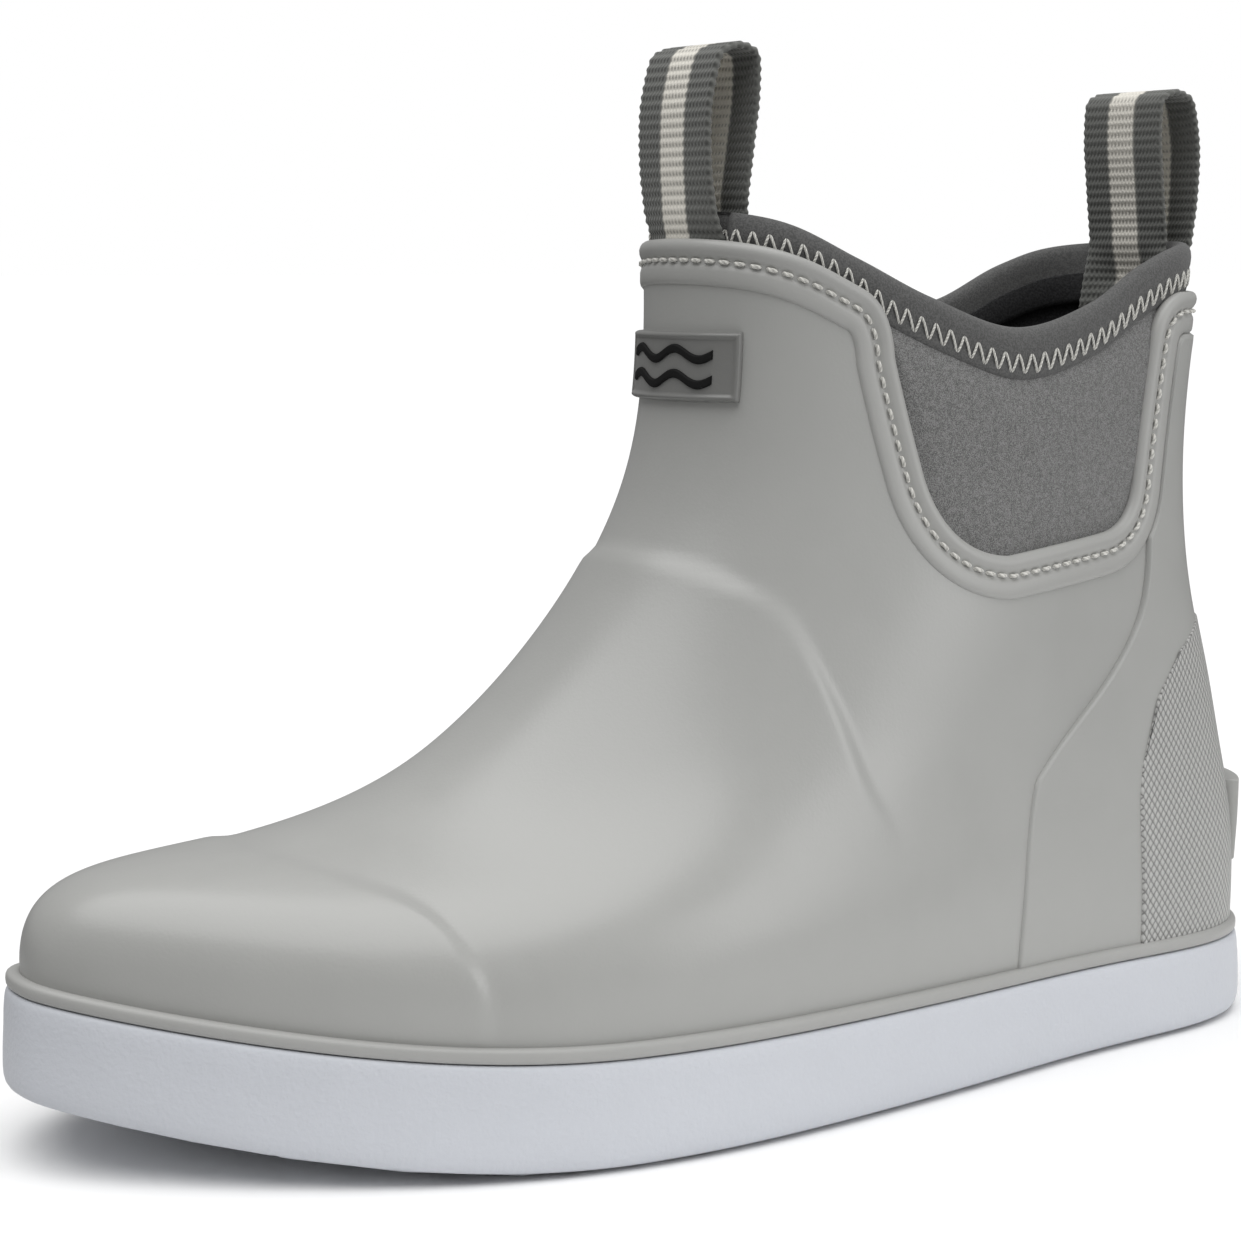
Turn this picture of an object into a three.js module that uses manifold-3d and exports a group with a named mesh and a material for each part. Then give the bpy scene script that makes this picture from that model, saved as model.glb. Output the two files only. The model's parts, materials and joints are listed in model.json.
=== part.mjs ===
// Deck boot for the left foot: a rubber upper over a neoprene bootie, on a flat wrapped deck sole.
// Millimetres, +Z up. The toe points towards -Y and the outer side of the foot is towards +X.
// The origin is on the ground, under the middle of the sole.

import * as THREE from "three";
import { mergeVertices } from "three/addons/utils/BufferGeometryUtils.js";
import Module from "manifold-3d";

const wasm = await Module();
wasm.setup();

// ---------------------------------------------------------------- driving dimensions

const UPPER_LENGTH = 286;         // heel to toe over the rubber upper; the sole reaches 4.6 further
const COLLAR_HEIGHT = 180;        // ground to the front of the collar
const BALL_WIDTH = 107;           // upper across the ball of the foot
const SHAFT_WIDTH = 64;           // upper across the shaft at the ankle

const WELT_LINE = 21;             // height where the upper leaves the sole
const WELT_TOP_TOE = 25.8;        // top of the welt bead at the toe, before toe spring
const WELT_TOP_HEEL = 21.1;       // top of the welt bead at the heel
const WELT_HEIGHT = 3;
const TOE_SPRING = 14.4;          // rise of the outsole under the tip of the toe
const SPRING_START = -50;         // toe spring begins this far from the middle
const UPPER_SPRING_SHARE = 0.8;   // the upper follows this much of the toe spring

const RUBBER_WALL = 1.9;          // thickness of the rubber upper
const NEOPRENE_WALL = 2.5;        // thickness of the bootie
const BINDING_WALL = 2.9;         // thickness of the folded collar edge
const BINDING_HEIGHT = 10;        // seam to collar edge
const GORE_WALL = 1;              // thickness of a stretch panel
const GORE_RECESS = 1;            // stretch panel below the rubber surface
const OVERLAY_WALL = 0.7;         // moulded rubber reinforcement
const GAP = 0.3;                  // clearance between layers that touch
const SEAM_GAP = 0.3;             // clearance between edges that meet

const OUTSOLE_THICKNESS = 6.5;
const MIDSOLE_THICKNESS = 4.4;
const BOARD_THICKNESS = 1.8;
const FOOTBED_THICKNESS = 5.5;
const FOOTBED_CLEARANCE = 2;      // footbed edge to the bootie
const FOXING_REACH = 3.1;         // outside of the sole wrap beyond the upper
const FOXING_BULGE = 0.8;         // extra reach low on the sole wrap
const FOXING_INSET = 0.8;         // inside of the sole wrap from the upper
const FOXING_LIFT = 0.8;          // bottom edge of the wrap above the ground

const TREAD_PITCH = 15;           // distance between sipes along the sole
const TREAD_SHARE = 0.84;         // part of the sole's length with sipes
const TREAD_DEPTH = 2.2;
const TREAD_WIDTH = 1.6;
const TREAD_WAVE = 4;             // half height of a sipe's zigzag

const TAPE_WIDTH = 8;             // raised band round the rubber edge
const STITCH_INSET = 3.6;         // topstitch behind the rubber edge
const THREAD_RADIUS = 0.35;
const ZIGZAG_HEIGHT = 3.8;
const ZIGZAG_COUNT = 76;          // corners of the zigzag on each side of the collar

const KICK_REACH = 3.4;           // ledge at the heel for pushing the boot off
const KICK_LIP = 0.4;             // ledge thickness at its lower edge

const BADGE_HALF_WIDTH = 17.5;
const BADGE_WALL = 1.2;
const BADGE_BAND = [140.5, 154.5];        // heights of the front badge on the last
const REAR_PATCH_BAND = [137.5, 152.5];   // heights of the rear patch on the last
const EMBLEM_WALL = 0.5;

const WEBBING_WIDTH = 25;
const WEBBING_THICKNESS = 1.5;
const LOOP_HEIGHT = 33;           // loop above the collar edge
const LOOP_GAP = 7.2;             // inside width of the loop at the collar
const LOOP_BULGE = 10;            // inside width of the loop near its top
const LOOP_START = 1.7;           // leg ends above the pivot
const TAB_DROP = 2.6;             // sewn tab ends below the pivot
const TAB_LENGTH = 10;            // sewn length of a tab
const POCKET_WALL = 1.5;          // webbing held between upper and collar

const TURNS = 36;                 // facets round the boot
const ROWS = 18;                  // facets up the boot
const REACH = 90;                 // half width of cutting prisms, across the boot
const BEYOND = 200;               // further along the boot than either end of it

// ---------------------------------------------------------------- the last

// The last and every side-view outline are drawn for these sizes, and scaled to the boot's own.
const LAST_LENGTH = 286;
const LAST_COLLAR = 180;
const LAST_BALL_WIDTH = 107;
const LAST_SHAFT_WIDTH = 64;

// Stations of the last, from the lasting margin (first) to just above the collar (last):
// distances along the boot, heights and half widths.
const LAST = {
  frontAlong: [-144, -144, -142, -128, -96, -60, -31, -12, -6, -8],
  frontHeight: [7, 21, 38, 47, 54, 65, 90, 117, 144, 184],
  backAlong: [142, 142, 142, 141, 137, 132, 125, 122, 124, 132],
  backHeight: [7, 20, 34, 48, 62, 80, 98, 120, 145, 184],
  outerHalf: [55, 55, 56, 52, 47, 43, 39, 35, 32, 32],
  innerHalf: [52, 52, 51, 44, 38, 35, 34, 32, 31, 31],
  shaftShare: [0, 0, 0, 0.1, 0.25, 0.45, 0.65, 0.88, 1, 1],
  toeShift: [-10, -10, -10, -8, -7, -5, -3, -1, 0, 0],
};
// Fullness of a section from its front to its back, as a factor on the half width.
const FOOT_OUTER = [0.7, 1.1, 1.08, 0.92, 0.8, 0.74, 1.2];
const FOOT_INNER = [1.32, 1.12, 1.03, 0.78, 0.72, 0.92, 1.22];
const SHAFT_FULL = [1.5, 1.03, 1, 1, 1, 1.04, 1.5];
const TOP_ROW = LAST.frontAlong.length - 1;

const clamp = THREE.MathUtils.clamp;
const lengthScale = UPPER_LENGTH / LAST_LENGTH;
const ballScale = BALL_WIDTH / LAST_BALL_WIDTH;
const shaftScale = SHAFT_WIDTH / LAST_SHAFT_WIDTH;
const heightScale = (COLLAR_HEIGHT - WELT_LINE) / (LAST_COLLAR - WELT_LINE);
const LAST_SEAT = OUTSOLE_THICKNESS + 0.5;   // the last begins just above the outsole
const seatScale = (WELT_LINE - LAST_SEAT) / (WELT_LINE - LAST.frontHeight[0]);

// A distance and a height on the drawn last, moved to the boot's own size.
const along = (y) => y * lengthScale;
const height = (z) => (z < WELT_LINE
  ? LAST_SEAT + (z - LAST.frontHeight[0]) * seatScale
  : WELT_LINE + (z - WELT_LINE) * heightScale);
const rocker = (y) => TOE_SPRING * Math.max(0, (along(SPRING_START) - y) / along(100)) ** 2;

// Uniform cubic B-spline over a column of values, ending on the first and last value.
function splineAt(values, position) {
  const last = values.length - 1;
  const span = clamp(Math.floor(position), 0, last - 1);
  const t = position - span;
  const value = (i) => {
    if (i < 0) return 2 * values[0] - values[1];
    if (i > last) return 2 * values[last] - values[last - 1];
    return values[i];
  };
  const weights = [(1 - t) ** 3, 3 * t ** 3 - 6 * t ** 2 + 4, 3 * (t + t ** 2 - t ** 3) + 1, t ** 3];
  return weights.reduce((sum, weight, i) => sum + (weight / 6) * value(span + i - 1), 0);
}

// Point on the outside of the rubber: row climbs the stations, turn runs from the front (0)
// over the outer side to the back (pi) and home over the inner side.
function lastPoint(row, turn) {
  const column = (name) => splineAt(LAST[name], row);
  const outerSide = Math.sin(turn) >= 0;
  const share = (1 - Math.cos(turn)) / 2;
  const shaft = column("shaftShare");
  const foot = splineAt(outerSide ? FOOT_OUTER : FOOT_INNER, share * (FOOT_OUTER.length - 1));
  const full = (1 - shaft) * foot + shaft * splineAt(SHAFT_FULL, share * (SHAFT_FULL.length - 1));
  const widen = THREE.MathUtils.lerp(ballScale, shaftScale, shaft);
  const half = widen * column(outerSide ? "outerHalf" : "innerHalf");
  const y = along(THREE.MathUtils.lerp(column("frontAlong"), column("backAlong"), share));
  const z = height(THREE.MathUtils.lerp(column("frontHeight"), column("backHeight"), share));
  const x = column("toeShift") * (1 - share) ** 2 + half * full * Math.sin(turn);
  return new THREE.Vector3(x, y, z + UPPER_SPRING_SHARE * rocker(y));
}

function lastNormal(row, turn) {
  const step = 0.02;
  const low = Math.max(row - step, 0);
  const high = Math.min(row + step, TOP_ROW);
  const acrossRows = lastPoint(high, turn).sub(lastPoint(low, turn));
  const acrossTurns = lastPoint(row, turn + step).sub(lastPoint(row, turn - step));
  return acrossTurns.cross(acrossRows).normalize();
}

// A point a given distance outside the rubber surface; negative distances are inside it.
const skinPoint = (row, turn, distance) =>
  lastPoint(row, turn).addScaledVector(lastNormal(row, turn), distance);

// Row and turn of the surface point with the given place in side view, on the outer side.
function locate(y, z) {
  let row = TOP_ROW / 2;
  let turn = Math.PI / 2;
  let best = Infinity;
  for (let i = 0; i <= 36; i += 1) {
    for (let j = 1; j < 36; j += 1) {
      const place = lastPoint((i / 36) * TOP_ROW, (j / 36) * Math.PI);
      const miss = Math.hypot(place.y - y, place.z - z);
      if (miss < best) [best, row, turn] = [miss, (i / 36) * TOP_ROW, (j / 36) * Math.PI];
    }
  }
  for (let pass = 0; pass < 8; pass += 1) {
    const step = 0.001;
    const here = lastPoint(row, turn);
    const rowStep = lastPoint(row + step, turn).sub(here).divideScalar(step);
    const turnStep = lastPoint(row, turn + step).sub(here).divideScalar(step);
    const missY = y - here.y;
    const missZ = z - here.z;
    const scale = rowStep.y * turnStep.z - rowStep.z * turnStep.y;
    row = clamp(row + (missY * turnStep.z - missZ * turnStep.y) / scale, 0, TOP_ROW);
    turn = clamp(turn + (rowStep.y * missZ - rowStep.z * missY) / scale, 0.01, Math.PI - 0.01);
  }
  return [row, turn];
}

// Row at which the front (turn 0) or the back (turn pi) of the last reaches a height.
function rowAtHeight(turn, z) {
  let [low, high] = [4, TOP_ROW];
  for (let pass = 0; pass < 30; pass += 1) {
    const middle = (low + high) / 2;
    if (lastPoint(middle, turn).z < z) low = middle;
    else high = middle;
  }
  return low;
}

// ---------------------------------------------------------------- making solids

function closedMesh(points, triangles) {
  const places = points.flatMap((p) => p.toArray());
  const geometry = new THREE.BufferGeometry();
  geometry.setAttribute("position", new THREE.Float32BufferAttribute(places, 3));
  geometry.setIndex(triangles);
  return geometry;
}

function solid(geometry) {
  const bare = geometry.clone();
  bare.deleteAttribute("normal");
  bare.deleteAttribute("uv");
  const merged = mergeVertices(bare, 1e-4);
  return new wasm.Manifold(new wasm.Mesh({
    numProp: 3,
    vertProperties: new Float32Array(merged.attributes.position.array),
    triVerts: new Uint32Array(merged.index.array),
  }));
}

// A ring closed round both ways: sections follow each other, each a closed outline.
function sweptSections(sections) {
  const points = sections.flat();
  const size = sections[0].length;
  const triangles = [];
  for (let i = 0; i < sections.length; i += 1) {
    const next = (i + 1) % sections.length;
    for (let j = 0; j < size; j += 1) {
      const side = (j + 1) % size;
      const [a, b, c, d] = [i * size + j, i * size + side, next * size + side, next * size + j];
      triangles.push(a, c, b, a, d, c);
    }
  }
  return closedMesh(points, triangles);
}

// Sheet of rubber or cloth between two distances from the surface. Rows and turns are whole
// facets, so that all layers share the same facets and stay a constant gap apart.
function layer({ rows = [0, ROWS], turns = [0, TURNS], outer, inner }) {
  const closedRound = turns[1] - turns[0] === TURNS;
  const depth = (value, row) => (typeof value === "function" ? value(row) : value);
  const sections = [];
  for (let j = turns[0]; j <= turns[1] - (closedRound ? 1 : 0); j += 1) {
    const turn = (j / TURNS) * 2 * Math.PI;
    const section = [];
    for (let i = rows[0]; i <= rows[1]; i += 1) {
      const row = (i / ROWS) * TOP_ROW;
      section.push(skinPoint(row, turn, depth(outer, row)));
    }
    for (let i = rows[1]; i >= rows[0]; i -= 1) {
      const row = (i / ROWS) * TOP_ROW;
      section.push(skinPoint(row, turn, depth(inner, row)));
    }
    sections.push(section);
  }
  return solid(layerMesh(sections, closedRound));
}

// The sections of a layer are long and thin, so their caps are strips between the two skins.
function layerMesh(sections, closedRound) {
  const size = sections[0].length;
  const triangles = [];
  const links = closedRound ? sections.length : sections.length - 1;
  for (let i = 0; i < links; i += 1) {
    const next = (i + 1) % sections.length;
    for (let j = 0; j < size; j += 1) {
      const side = (j + 1) % size;
      const [a, b, c, d] = [i * size + j, next * size + j, next * size + side, i * size + side];
      if (j < size / 2) triangles.push(a, b, c, a, c, d);
      else triangles.push(d, a, b, d, b, c);
    }
  }
  if (!closedRound) {
    const end = (sections.length - 1) * size;
    for (let j = 0; j < size / 2 - 1; j += 1) {
      const across = size - 1 - j;
      triangles.push(j, j + 1, across - 1, j, across - 1, across);
      triangles.push(end + j, end + across - 1, end + j + 1, end + j, end + across, end + across - 1);
    }
  }
  return closedMesh(sections.flat(), triangles);
}

// Side-view outline (along the boot, height) carried straight across the boot.
function prism(shape, from = -REACH, to = REACH) {
  const cut = { depth: to - from, bevelEnabled: false, curveSegments: 6 };
  const geometry = new THREE.ExtrudeGeometry(shape, cut);
  const axes = new THREE.Matrix4().makeBasis(
    new THREE.Vector3(0, 1, 0),
    new THREE.Vector3(0, 0, 1),
    new THREE.Vector3(1, 0, 0),
  );
  geometry.applyMatrix4(axes);
  geometry.translate(from, 0, 0);
  return solid(geometry);
}

function polygon(points) {
  return new THREE.Shape(points.map(([y, z]) => new THREE.Vector2(along(y), height(z))));
}

// Plan outline of the sole, a distance outside the upper, at one turn.
const soleEdge = (turn, distance) => skinPoint((1 / ROWS) * TOP_ROW, turn, distance);

// Flat layer of the sole between two heights, each a function of the distance along the boot.
function soleLayer(distance, bottom, top) {
  const pairs = [];
  for (let j = 0; j <= TURNS / 2; j += 1) {
    const turn = (j / TURNS) * 2 * Math.PI;
    const outerEdge = soleEdge(turn, distance);
    const innerEdge = soleEdge(-turn, distance);
    if (j === 0 || j === TURNS / 2) innerEdge.copy(outerEdge);
    pairs.push([outerEdge, innerEdge]);
  }
  const sections = [];
  for (const [outerEdge, innerEdge] of pairs) {
    sections.push([
      new THREE.Vector3(innerEdge.x, innerEdge.y, bottom(innerEdge.y)),
      new THREE.Vector3(outerEdge.x, outerEdge.y, bottom(outerEdge.y)),
      new THREE.Vector3(outerEdge.x, outerEdge.y, top(outerEdge.y)),
      new THREE.Vector3(innerEdge.x, innerEdge.y, top(innerEdge.y)),
    ]);
  }
  return fold(sections);
}

// Joins four-cornered sections whose first and last are upright lines, not faces.
function fold(sections) {
  const points = sections.flat();
  const triangles = [];
  for (let i = 0; i < sections.length - 1; i += 1) {
    for (let j = 0; j < 4; j += 1) {
      const side = (j + 1) % 4;
      const [a, b, c, d] = [i * 4 + j, i * 4 + side, (i + 1) * 4 + side, (i + 1) * 4 + j];
      triangles.push(a, c, b, a, d, c);
    }
  }
  const merged = mergeVertices(closedMesh(points, triangles), 1e-4);
  const index = merged.index.array;
  const kept = [];
  for (let i = 0; i < index.length; i += 3) {
    const [a, b, c] = [index[i], index[i + 1], index[i + 2]];
    if (a !== b && b !== c && c !== a) kept.push(a, b, c);
  }
  merged.setIndex(kept);
  return solid(merged);
}

// Strip with a closed profile carried round the sole: each corner is [distance, height(y)].
function soleRing(profile) {
  const sections = [];
  for (let j = 0; j < TURNS; j += 1) {
    const turn = (j / TURNS) * 2 * Math.PI;
    sections.push(profile.map(([distance, level]) => {
      const edge = soleEdge(turn, distance);
      return new THREE.Vector3(edge.x, edge.y, level(soleEdge(turn, 0).y));
    }));
  }
  return solid(sweptSections(sections));
}

// Thread along surface points [row, turn], closed on itself, at a distance from the surface.
function threadLoop(route, distance, sides = 3) {
  const centres = route.map(([row, turn]) => skinPoint(row, turn, distance));
  const sections = centres.map((centre, i) => {
    const before = centres[(i + centres.length - 1) % centres.length];
    const after = centres[(i + 1) % centres.length];
    const ahead = after.clone().sub(before).normalize();
    const out = lastNormal(...route[i]);
    const across = ahead.clone().cross(out).normalize();
    const up = across.clone().cross(ahead);
    return Array.from({ length: sides }, (_, k) => {
      const angle = (k / sides) * 2 * Math.PI;
      return centre.clone()
        .addScaledVector(across, THREAD_RADIUS * Math.cos(angle))
        .addScaledVector(up, THREAD_RADIUS * Math.sin(angle));
    });
  });
  return solid(sweptSections(sections));
}

// Slab across the whole side view, between two distances across the boot.
function slab(from, to) {
  const corners = [[-BEYOND, -BEYOND], [BEYOND, -BEYOND], [BEYOND, 2 * BEYOND], [-BEYOND, 2 * BEYOND]];
  return prism(new THREE.Shape(corners.map(([y, z]) => new THREE.Vector2(y, z))), from, to);
}

// ---------------------------------------------------------------- side-view outlines

// Edge of the rubber: the front tab, the side window for the stretch panel and the rear tab.
// A positive grow moves the edge into the rubber by that much.
function rubberEdge(grow) {
  const shape = new THREE.Shape();
  const y = (value, way) => along(value) + way * grow;
  const z = (value) => height(value) - grow;
  shape.moveTo(along(-60), z(174));
  shape.lineTo(along(-12), z(173));
  shape.quadraticCurveTo(along(2), z(172), along(14), z(166));
  shape.lineTo(y(20, -1), z(163));
  shape.quadraticCurveTo(y(27, -1), z(160), y(27.5, -1), height(149));
  shape.lineTo(y(32.5, -1), height(127));
  shape.quadraticCurveTo(y(36, -1), z(109), y(54, 0), z(108));
  shape.lineTo(y(84, 0), z(111));
  shape.quadraticCurveTo(y(93.5, 1), z(112), y(95.5, 1), height(121));
  shape.lineTo(y(101.5, 1), height(151));
  shape.quadraticCurveTo(y(103, 1), z(160), y(112, 1), z(161.5));
  shape.lineTo(along(170), z(162));
  shape.lineTo(along(170), height(240));
  shape.lineTo(along(-60), height(240));
  shape.closePath();
  return shape;
}

// Collar edge in side view: high in front, lowest over the ankle bone, rising to the back.
const COLLAR_LINE = [
  [-200, 181], [-60, 181], [-20, 180.5], [4, 177], [22, 169.3], [40, 161],
  [61, 155], [84, 160], [101, 168], [118, 172.5], [150, 174], [190, 174],
];

// Everything below the collar edge lowered by a drop.
function belowCollar(drop) {
  const shape = new THREE.Shape();
  shape.moveTo(along(190), -20);
  shape.lineTo(along(190), height(174) - drop);
  const line = [...COLLAR_LINE].reverse().slice(1);
  shape.splineThru(line.map(([y, z]) => new THREE.Vector2(along(y), height(z) - drop)));
  shape.lineTo(along(-200), -20);
  shape.closePath();
  return shape;
}

const TOE_CAP_LINE = [[-78.5, 0], [-78.5, 30], [-81, 42], [-86, 50], [-97, 55], [-112, 62], [-112, 90]];
const VAMP_LINE = [
  [19, 0], [19, 42], [16, 56], [11, 66], [6, 84], [0, 99], [-10, 106], [-20, 111], [-60, 130],
];
const QUARTER_LINE = [[53, 0], [54, 30], [58, 56], [64, 64.5], [84, 79.5], [94, 90], [98, 100], [98, 114]];
const GUARD_LINE = [[94.5, 0], [93.5, 45], [95, 60], [100, 74.5], [108, 84], [118, 90], [150, 94]];

const endHeight = (line) => line[line.length - 1][1];
const inFrontOf = (line, gap = 0) =>
  polygon([[-BEYOND, 0], ...line.map(([y, z]) => [y + gap, z]), [-BEYOND, endHeight(line)]]);
const behind = (line) => polygon([[BEYOND, 0], [BEYOND, endHeight(line)], ...[...line].reverse()]);
const heightBand = (low, high) => polygon([[-BEYOND, low], [BEYOND, low], [BEYOND, high], [-BEYOND, high]]);

// ---------------------------------------------------------------- materials

function material(color, roughness) {
  return new THREE.MeshStandardMaterial({ color, roughness, metalness: 0 });
}

const UPPER_GREY = material(0xa9a9a6, 0.45);
const TRIM_GREY = material(0xb2b2af, 0.42);
const SOLE_WHITE = material(0xd3d6dc, 0.6);
const WELT_GREY = material(0xababab, 0.5);
const NEOPRENE = material(0x6a6a68, 0.9);
const BINDING_KNIT = material(0x5e5e5c, 0.85);
const THREAD = material(0xcfcdc6, 0.7);
const WEBBING = material(0x6c6d68, 0.85);
const BADGE = material(0x8a8a86, 0.5);
const EMBLEM = material(0x1c1c1c, 0.5);
const FOAM = material(0x3c3e42, 0.9);
const BOARD = material(0xb9a98a, 0.9);

const boot = new THREE.Group();

function addPart(name, body, finish) {
  const { vertProperties, triVerts } = body.getMesh();
  const geometry = new THREE.BufferGeometry();
  geometry.setAttribute("position", new THREE.BufferAttribute(vertProperties, 3));
  geometry.setIndex(new THREE.BufferAttribute(triVerts, 1));
  geometry.computeVertexNormals();
  const mesh = new THREE.Mesh(geometry, finish);
  mesh.name = name;
  boot.add(mesh);
}

// ---------------------------------------------------------------- sole

const upperRise = (y) => UPPER_SPRING_SHARE * rocker(y);
const outsoleTop = (y) => OUTSOLE_THICKNESS + upperRise(y);
const midsoleTop = (y) => outsoleTop(y) + GAP + MIDSOLE_THICKNESS;
const boardTop = (y) => midsoleTop(y) + GAP + BOARD_THICKNESS;
const footbedTop = (y) => boardTop(y) + GAP + FOOTBED_THICKNESS;
const weltTop = (y) => {
  const share = clamp(y / UPPER_LENGTH + 0.5, 0, 1);
  return THREE.MathUtils.lerp(WELT_TOP_TOE, WELT_TOP_HEEL, share) + upperRise(y);
};

// Block up to a gap above a sole layer, to cut the walls that stand on it.
const everythingBelow = (level) => soleLayer(FOXING_REACH, () => -REACH, (y) => level(y) + GAP);

// One sipe: a zigzag channel across the tread.
function sipe(y) {
  const steps = 8;
  const stepWidth = (BALL_WIDTH + 20) / steps;
  const edge = (offset) => Array.from({ length: steps + 1 }, (_, i) =>
    new THREE.Vector2((i - steps / 2) * stepWidth, y + (i % 2 ? TREAD_WAVE : -TREAD_WAVE) + offset));
  const shape = new THREE.Shape([...edge(-TREAD_WIDTH / 2), ...edge(TREAD_WIDTH / 2).reverse()]);
  const channel = new THREE.ExtrudeGeometry(shape, { depth: TREAD_DEPTH + 2, bevelEnabled: false });
  channel.translate(0, 0, rocker(y) - 2);
  return solid(channel);
}

function outsole() {
  let body = soleLayer(0, rocker, outsoleTop);
  const count = Math.floor((UPPER_LENGTH * TREAD_SHARE) / TREAD_PITCH / 2);
  for (let i = -count; i < count; i += 1) {
    body = body.subtract(sipe((i + 0.5) * TREAD_PITCH));
  }
  return body;
}

const insideUpper = -RUBBER_WALL - GAP;
const insideBootie = insideUpper - NEOPRENE_WALL;
const weltBase = (y) => weltTop(y) - WELT_HEIGHT;

addPart("outsole", outsole(), SOLE_WHITE);
addPart("midsole", soleLayer(insideUpper, (y) => outsoleTop(y) + GAP, midsoleTop), FOAM);
addPart("insole_board", soleLayer(insideUpper, (y) => midsoleTop(y) + GAP, boardTop), BOARD);
addPart("footbed", soleLayer(insideBootie - FOOTBED_CLEARANCE, (y) => boardTop(y) + GAP, footbedTop), FOAM);

const wrapBottom = (y) => FOXING_LIFT + rocker(y);
addPart("foxing_strip", soleRing([
  [FOXING_INSET, wrapBottom],
  [FOXING_REACH - 1.2, wrapBottom],
  [FOXING_REACH + FOXING_BULGE, (y) => wrapBottom(y) + 2.5],
  [FOXING_REACH + FOXING_BULGE, (y) => wrapBottom(y) + 7],
  [FOXING_REACH, (y) => weltBase(y) - GAP],
  [FOXING_INSET, (y) => weltBase(y) - GAP],
]), SOLE_WHITE);
addPart("welt_bead", soleRing([
  [FOXING_INSET, weltBase],
  [FOXING_REACH - 0.8, weltBase],
  [FOXING_REACH - 0.1, (y) => weltBase(y) + 0.35 * WELT_HEIGHT],
  [FOXING_REACH - 0.5, (y) => weltTop(y) - 0.4],
  [FOXING_REACH - 1.5, weltTop],
  [FOXING_INSET, (y) => weltTop(y) - 0.3],
]), WELT_GREY);

// ---------------------------------------------------------------- rubber upper and its trim

const sideWindows = prism(rubberEdge(0));
const shaftRows = [9, ROWS];
const overlayBase = GAP;
const overlayTop = GAP + OVERLAY_WALL;
const bandTop = overlayTop + 0.1;
const overlay = (rows, turns) => layer({ rows, turns, outer: overlayTop, inner: overlayBase });
// Overlays stop just above the welt, which rises towards the toe.
const WELT_CLEAR_LINE = [
  [-BEYOND, 70], [-150, 46], [-100, 34], [-50, 29], [BEYOND, 26], [BEYOND, 300], [-BEYOND, 300],
];
const aboveWelt = prism(polygon(WELT_CLEAR_LINE));

const upper = layer({ outer: 0, inner: -RUBBER_WALL })
  .subtract(sideWindows)
  .subtract(everythingBelow(outsoleTop));
addPart("rubber_upper", upper, UPPER_GREY);

const toeCap = overlay([2, 9], [-9, 9]).intersect(prism(inFrontOf(TOE_CAP_LINE))).intersect(aboveWelt);
addPart("toe_cap", toeCap, TRIM_GREY);

const vamp = overlay([2, 13], [-14, 14])
  .intersect(prism(inFrontOf(VAMP_LINE)))
  .subtract(prism(inFrontOf(TOE_CAP_LINE, 2 * SEAM_GAP)))
  .intersect(aboveWelt);
addPart("vamp_overlay", vamp, TRIM_GREY);

const quarter = overlay([2, 13], [8, 28])
  .intersect(prism(behind(QUARTER_LINE)))
  .subtract(prism(rubberEdge(TAPE_WIDTH + SEAM_GAP)))
  .intersect(aboveWelt);
addPart("heel_quarter", quarter, TRIM_GREY);

const guardTop = overlayTop + GAP + OVERLAY_WALL;
const guard = layer({ rows: [2, 12], turns: [11, 25], outer: guardTop, inner: overlayTop + GAP })
  .intersect(prism(behind(GUARD_LINE)))
  .intersect(aboveWelt);
addPart("heel_guard", guard, TRIM_GREY);

const KICK_ROWS = [4, 6];
const kickBase = guardTop + GAP;
const kickTop = (row) => {
  const share = ((row / TOP_ROW) * ROWS - KICK_ROWS[0]) / (KICK_ROWS[1] - KICK_ROWS[0]);
  return kickBase + THREE.MathUtils.lerp(KICK_LIP, KICK_REACH, share);
};
addPart("kick_tab", layer({ rows: KICK_ROWS, turns: [16, 20], outer: kickTop, inner: kickBase }), TRIM_GREY);

const tape = layer({ rows: shaftRows, outer: bandTop, inner: overlayBase })
  .intersect(prism(rubberEdge(TAPE_WIDTH)))
  .subtract(sideWindows);
addPart("edge_tape", tape, TRIM_GREY);

const patchOn = (band, turns, outer, inner) =>
  layer({ rows: [12, 17], turns, outer, inner })
    .intersect(prism(heightBand(...band)))
    .intersect(slab(-BADGE_HALF_WIDTH, BADGE_HALF_WIDTH));
const badgeTop = GAP + BADGE_WALL;
addPart("front_badge", patchOn(BADGE_BAND, [-6, 6], badgeTop, GAP), BADGE);
addPart("rear_patch", patchOn(REAR_PATCH_BAND, [13, 23], badgeTop, GAP), TRIM_GREY);

// Emblem: two plain waves, one above the other, each a bar of its own.
function emblemWave(level) {
  const steps = 12;
  const half = BADGE_HALF_WIDTH - 5;
  const edge = (offset) => Array.from({ length: steps + 1 }, (_, i) => new THREE.Vector2(
    -half + (2 * half * i) / steps,
    height(level) + 1.1 * Math.sin((i / steps) * 4 * Math.PI) + offset,
  ));
  const shape = new THREE.Shape([...edge(-0.9), ...edge(0.9).reverse()]);
  const bar = new THREE.ExtrudeGeometry(shape, { depth: REACH, bevelEnabled: false });
  bar.rotateX(Math.PI / 2);
  return solid(bar);
}
const emblemBase = badgeTop + GAP;
const emblemTop = emblemBase + EMBLEM_WALL;
const emblemLayer = layer({ rows: [12, 17], turns: [-6, 6], outer: emblemTop, inner: emblemBase });
for (const [name, share] of [["badge_wave_lower", 0.32], ["badge_wave_upper", 0.68]]) {
  const level = THREE.MathUtils.lerp(...BADGE_BAND, share);
  addPart(name, emblemLayer.intersect(emblemWave(level)), EMBLEM);
}

// ---------------------------------------------------------------- bootie, stretch panels, collar

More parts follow.
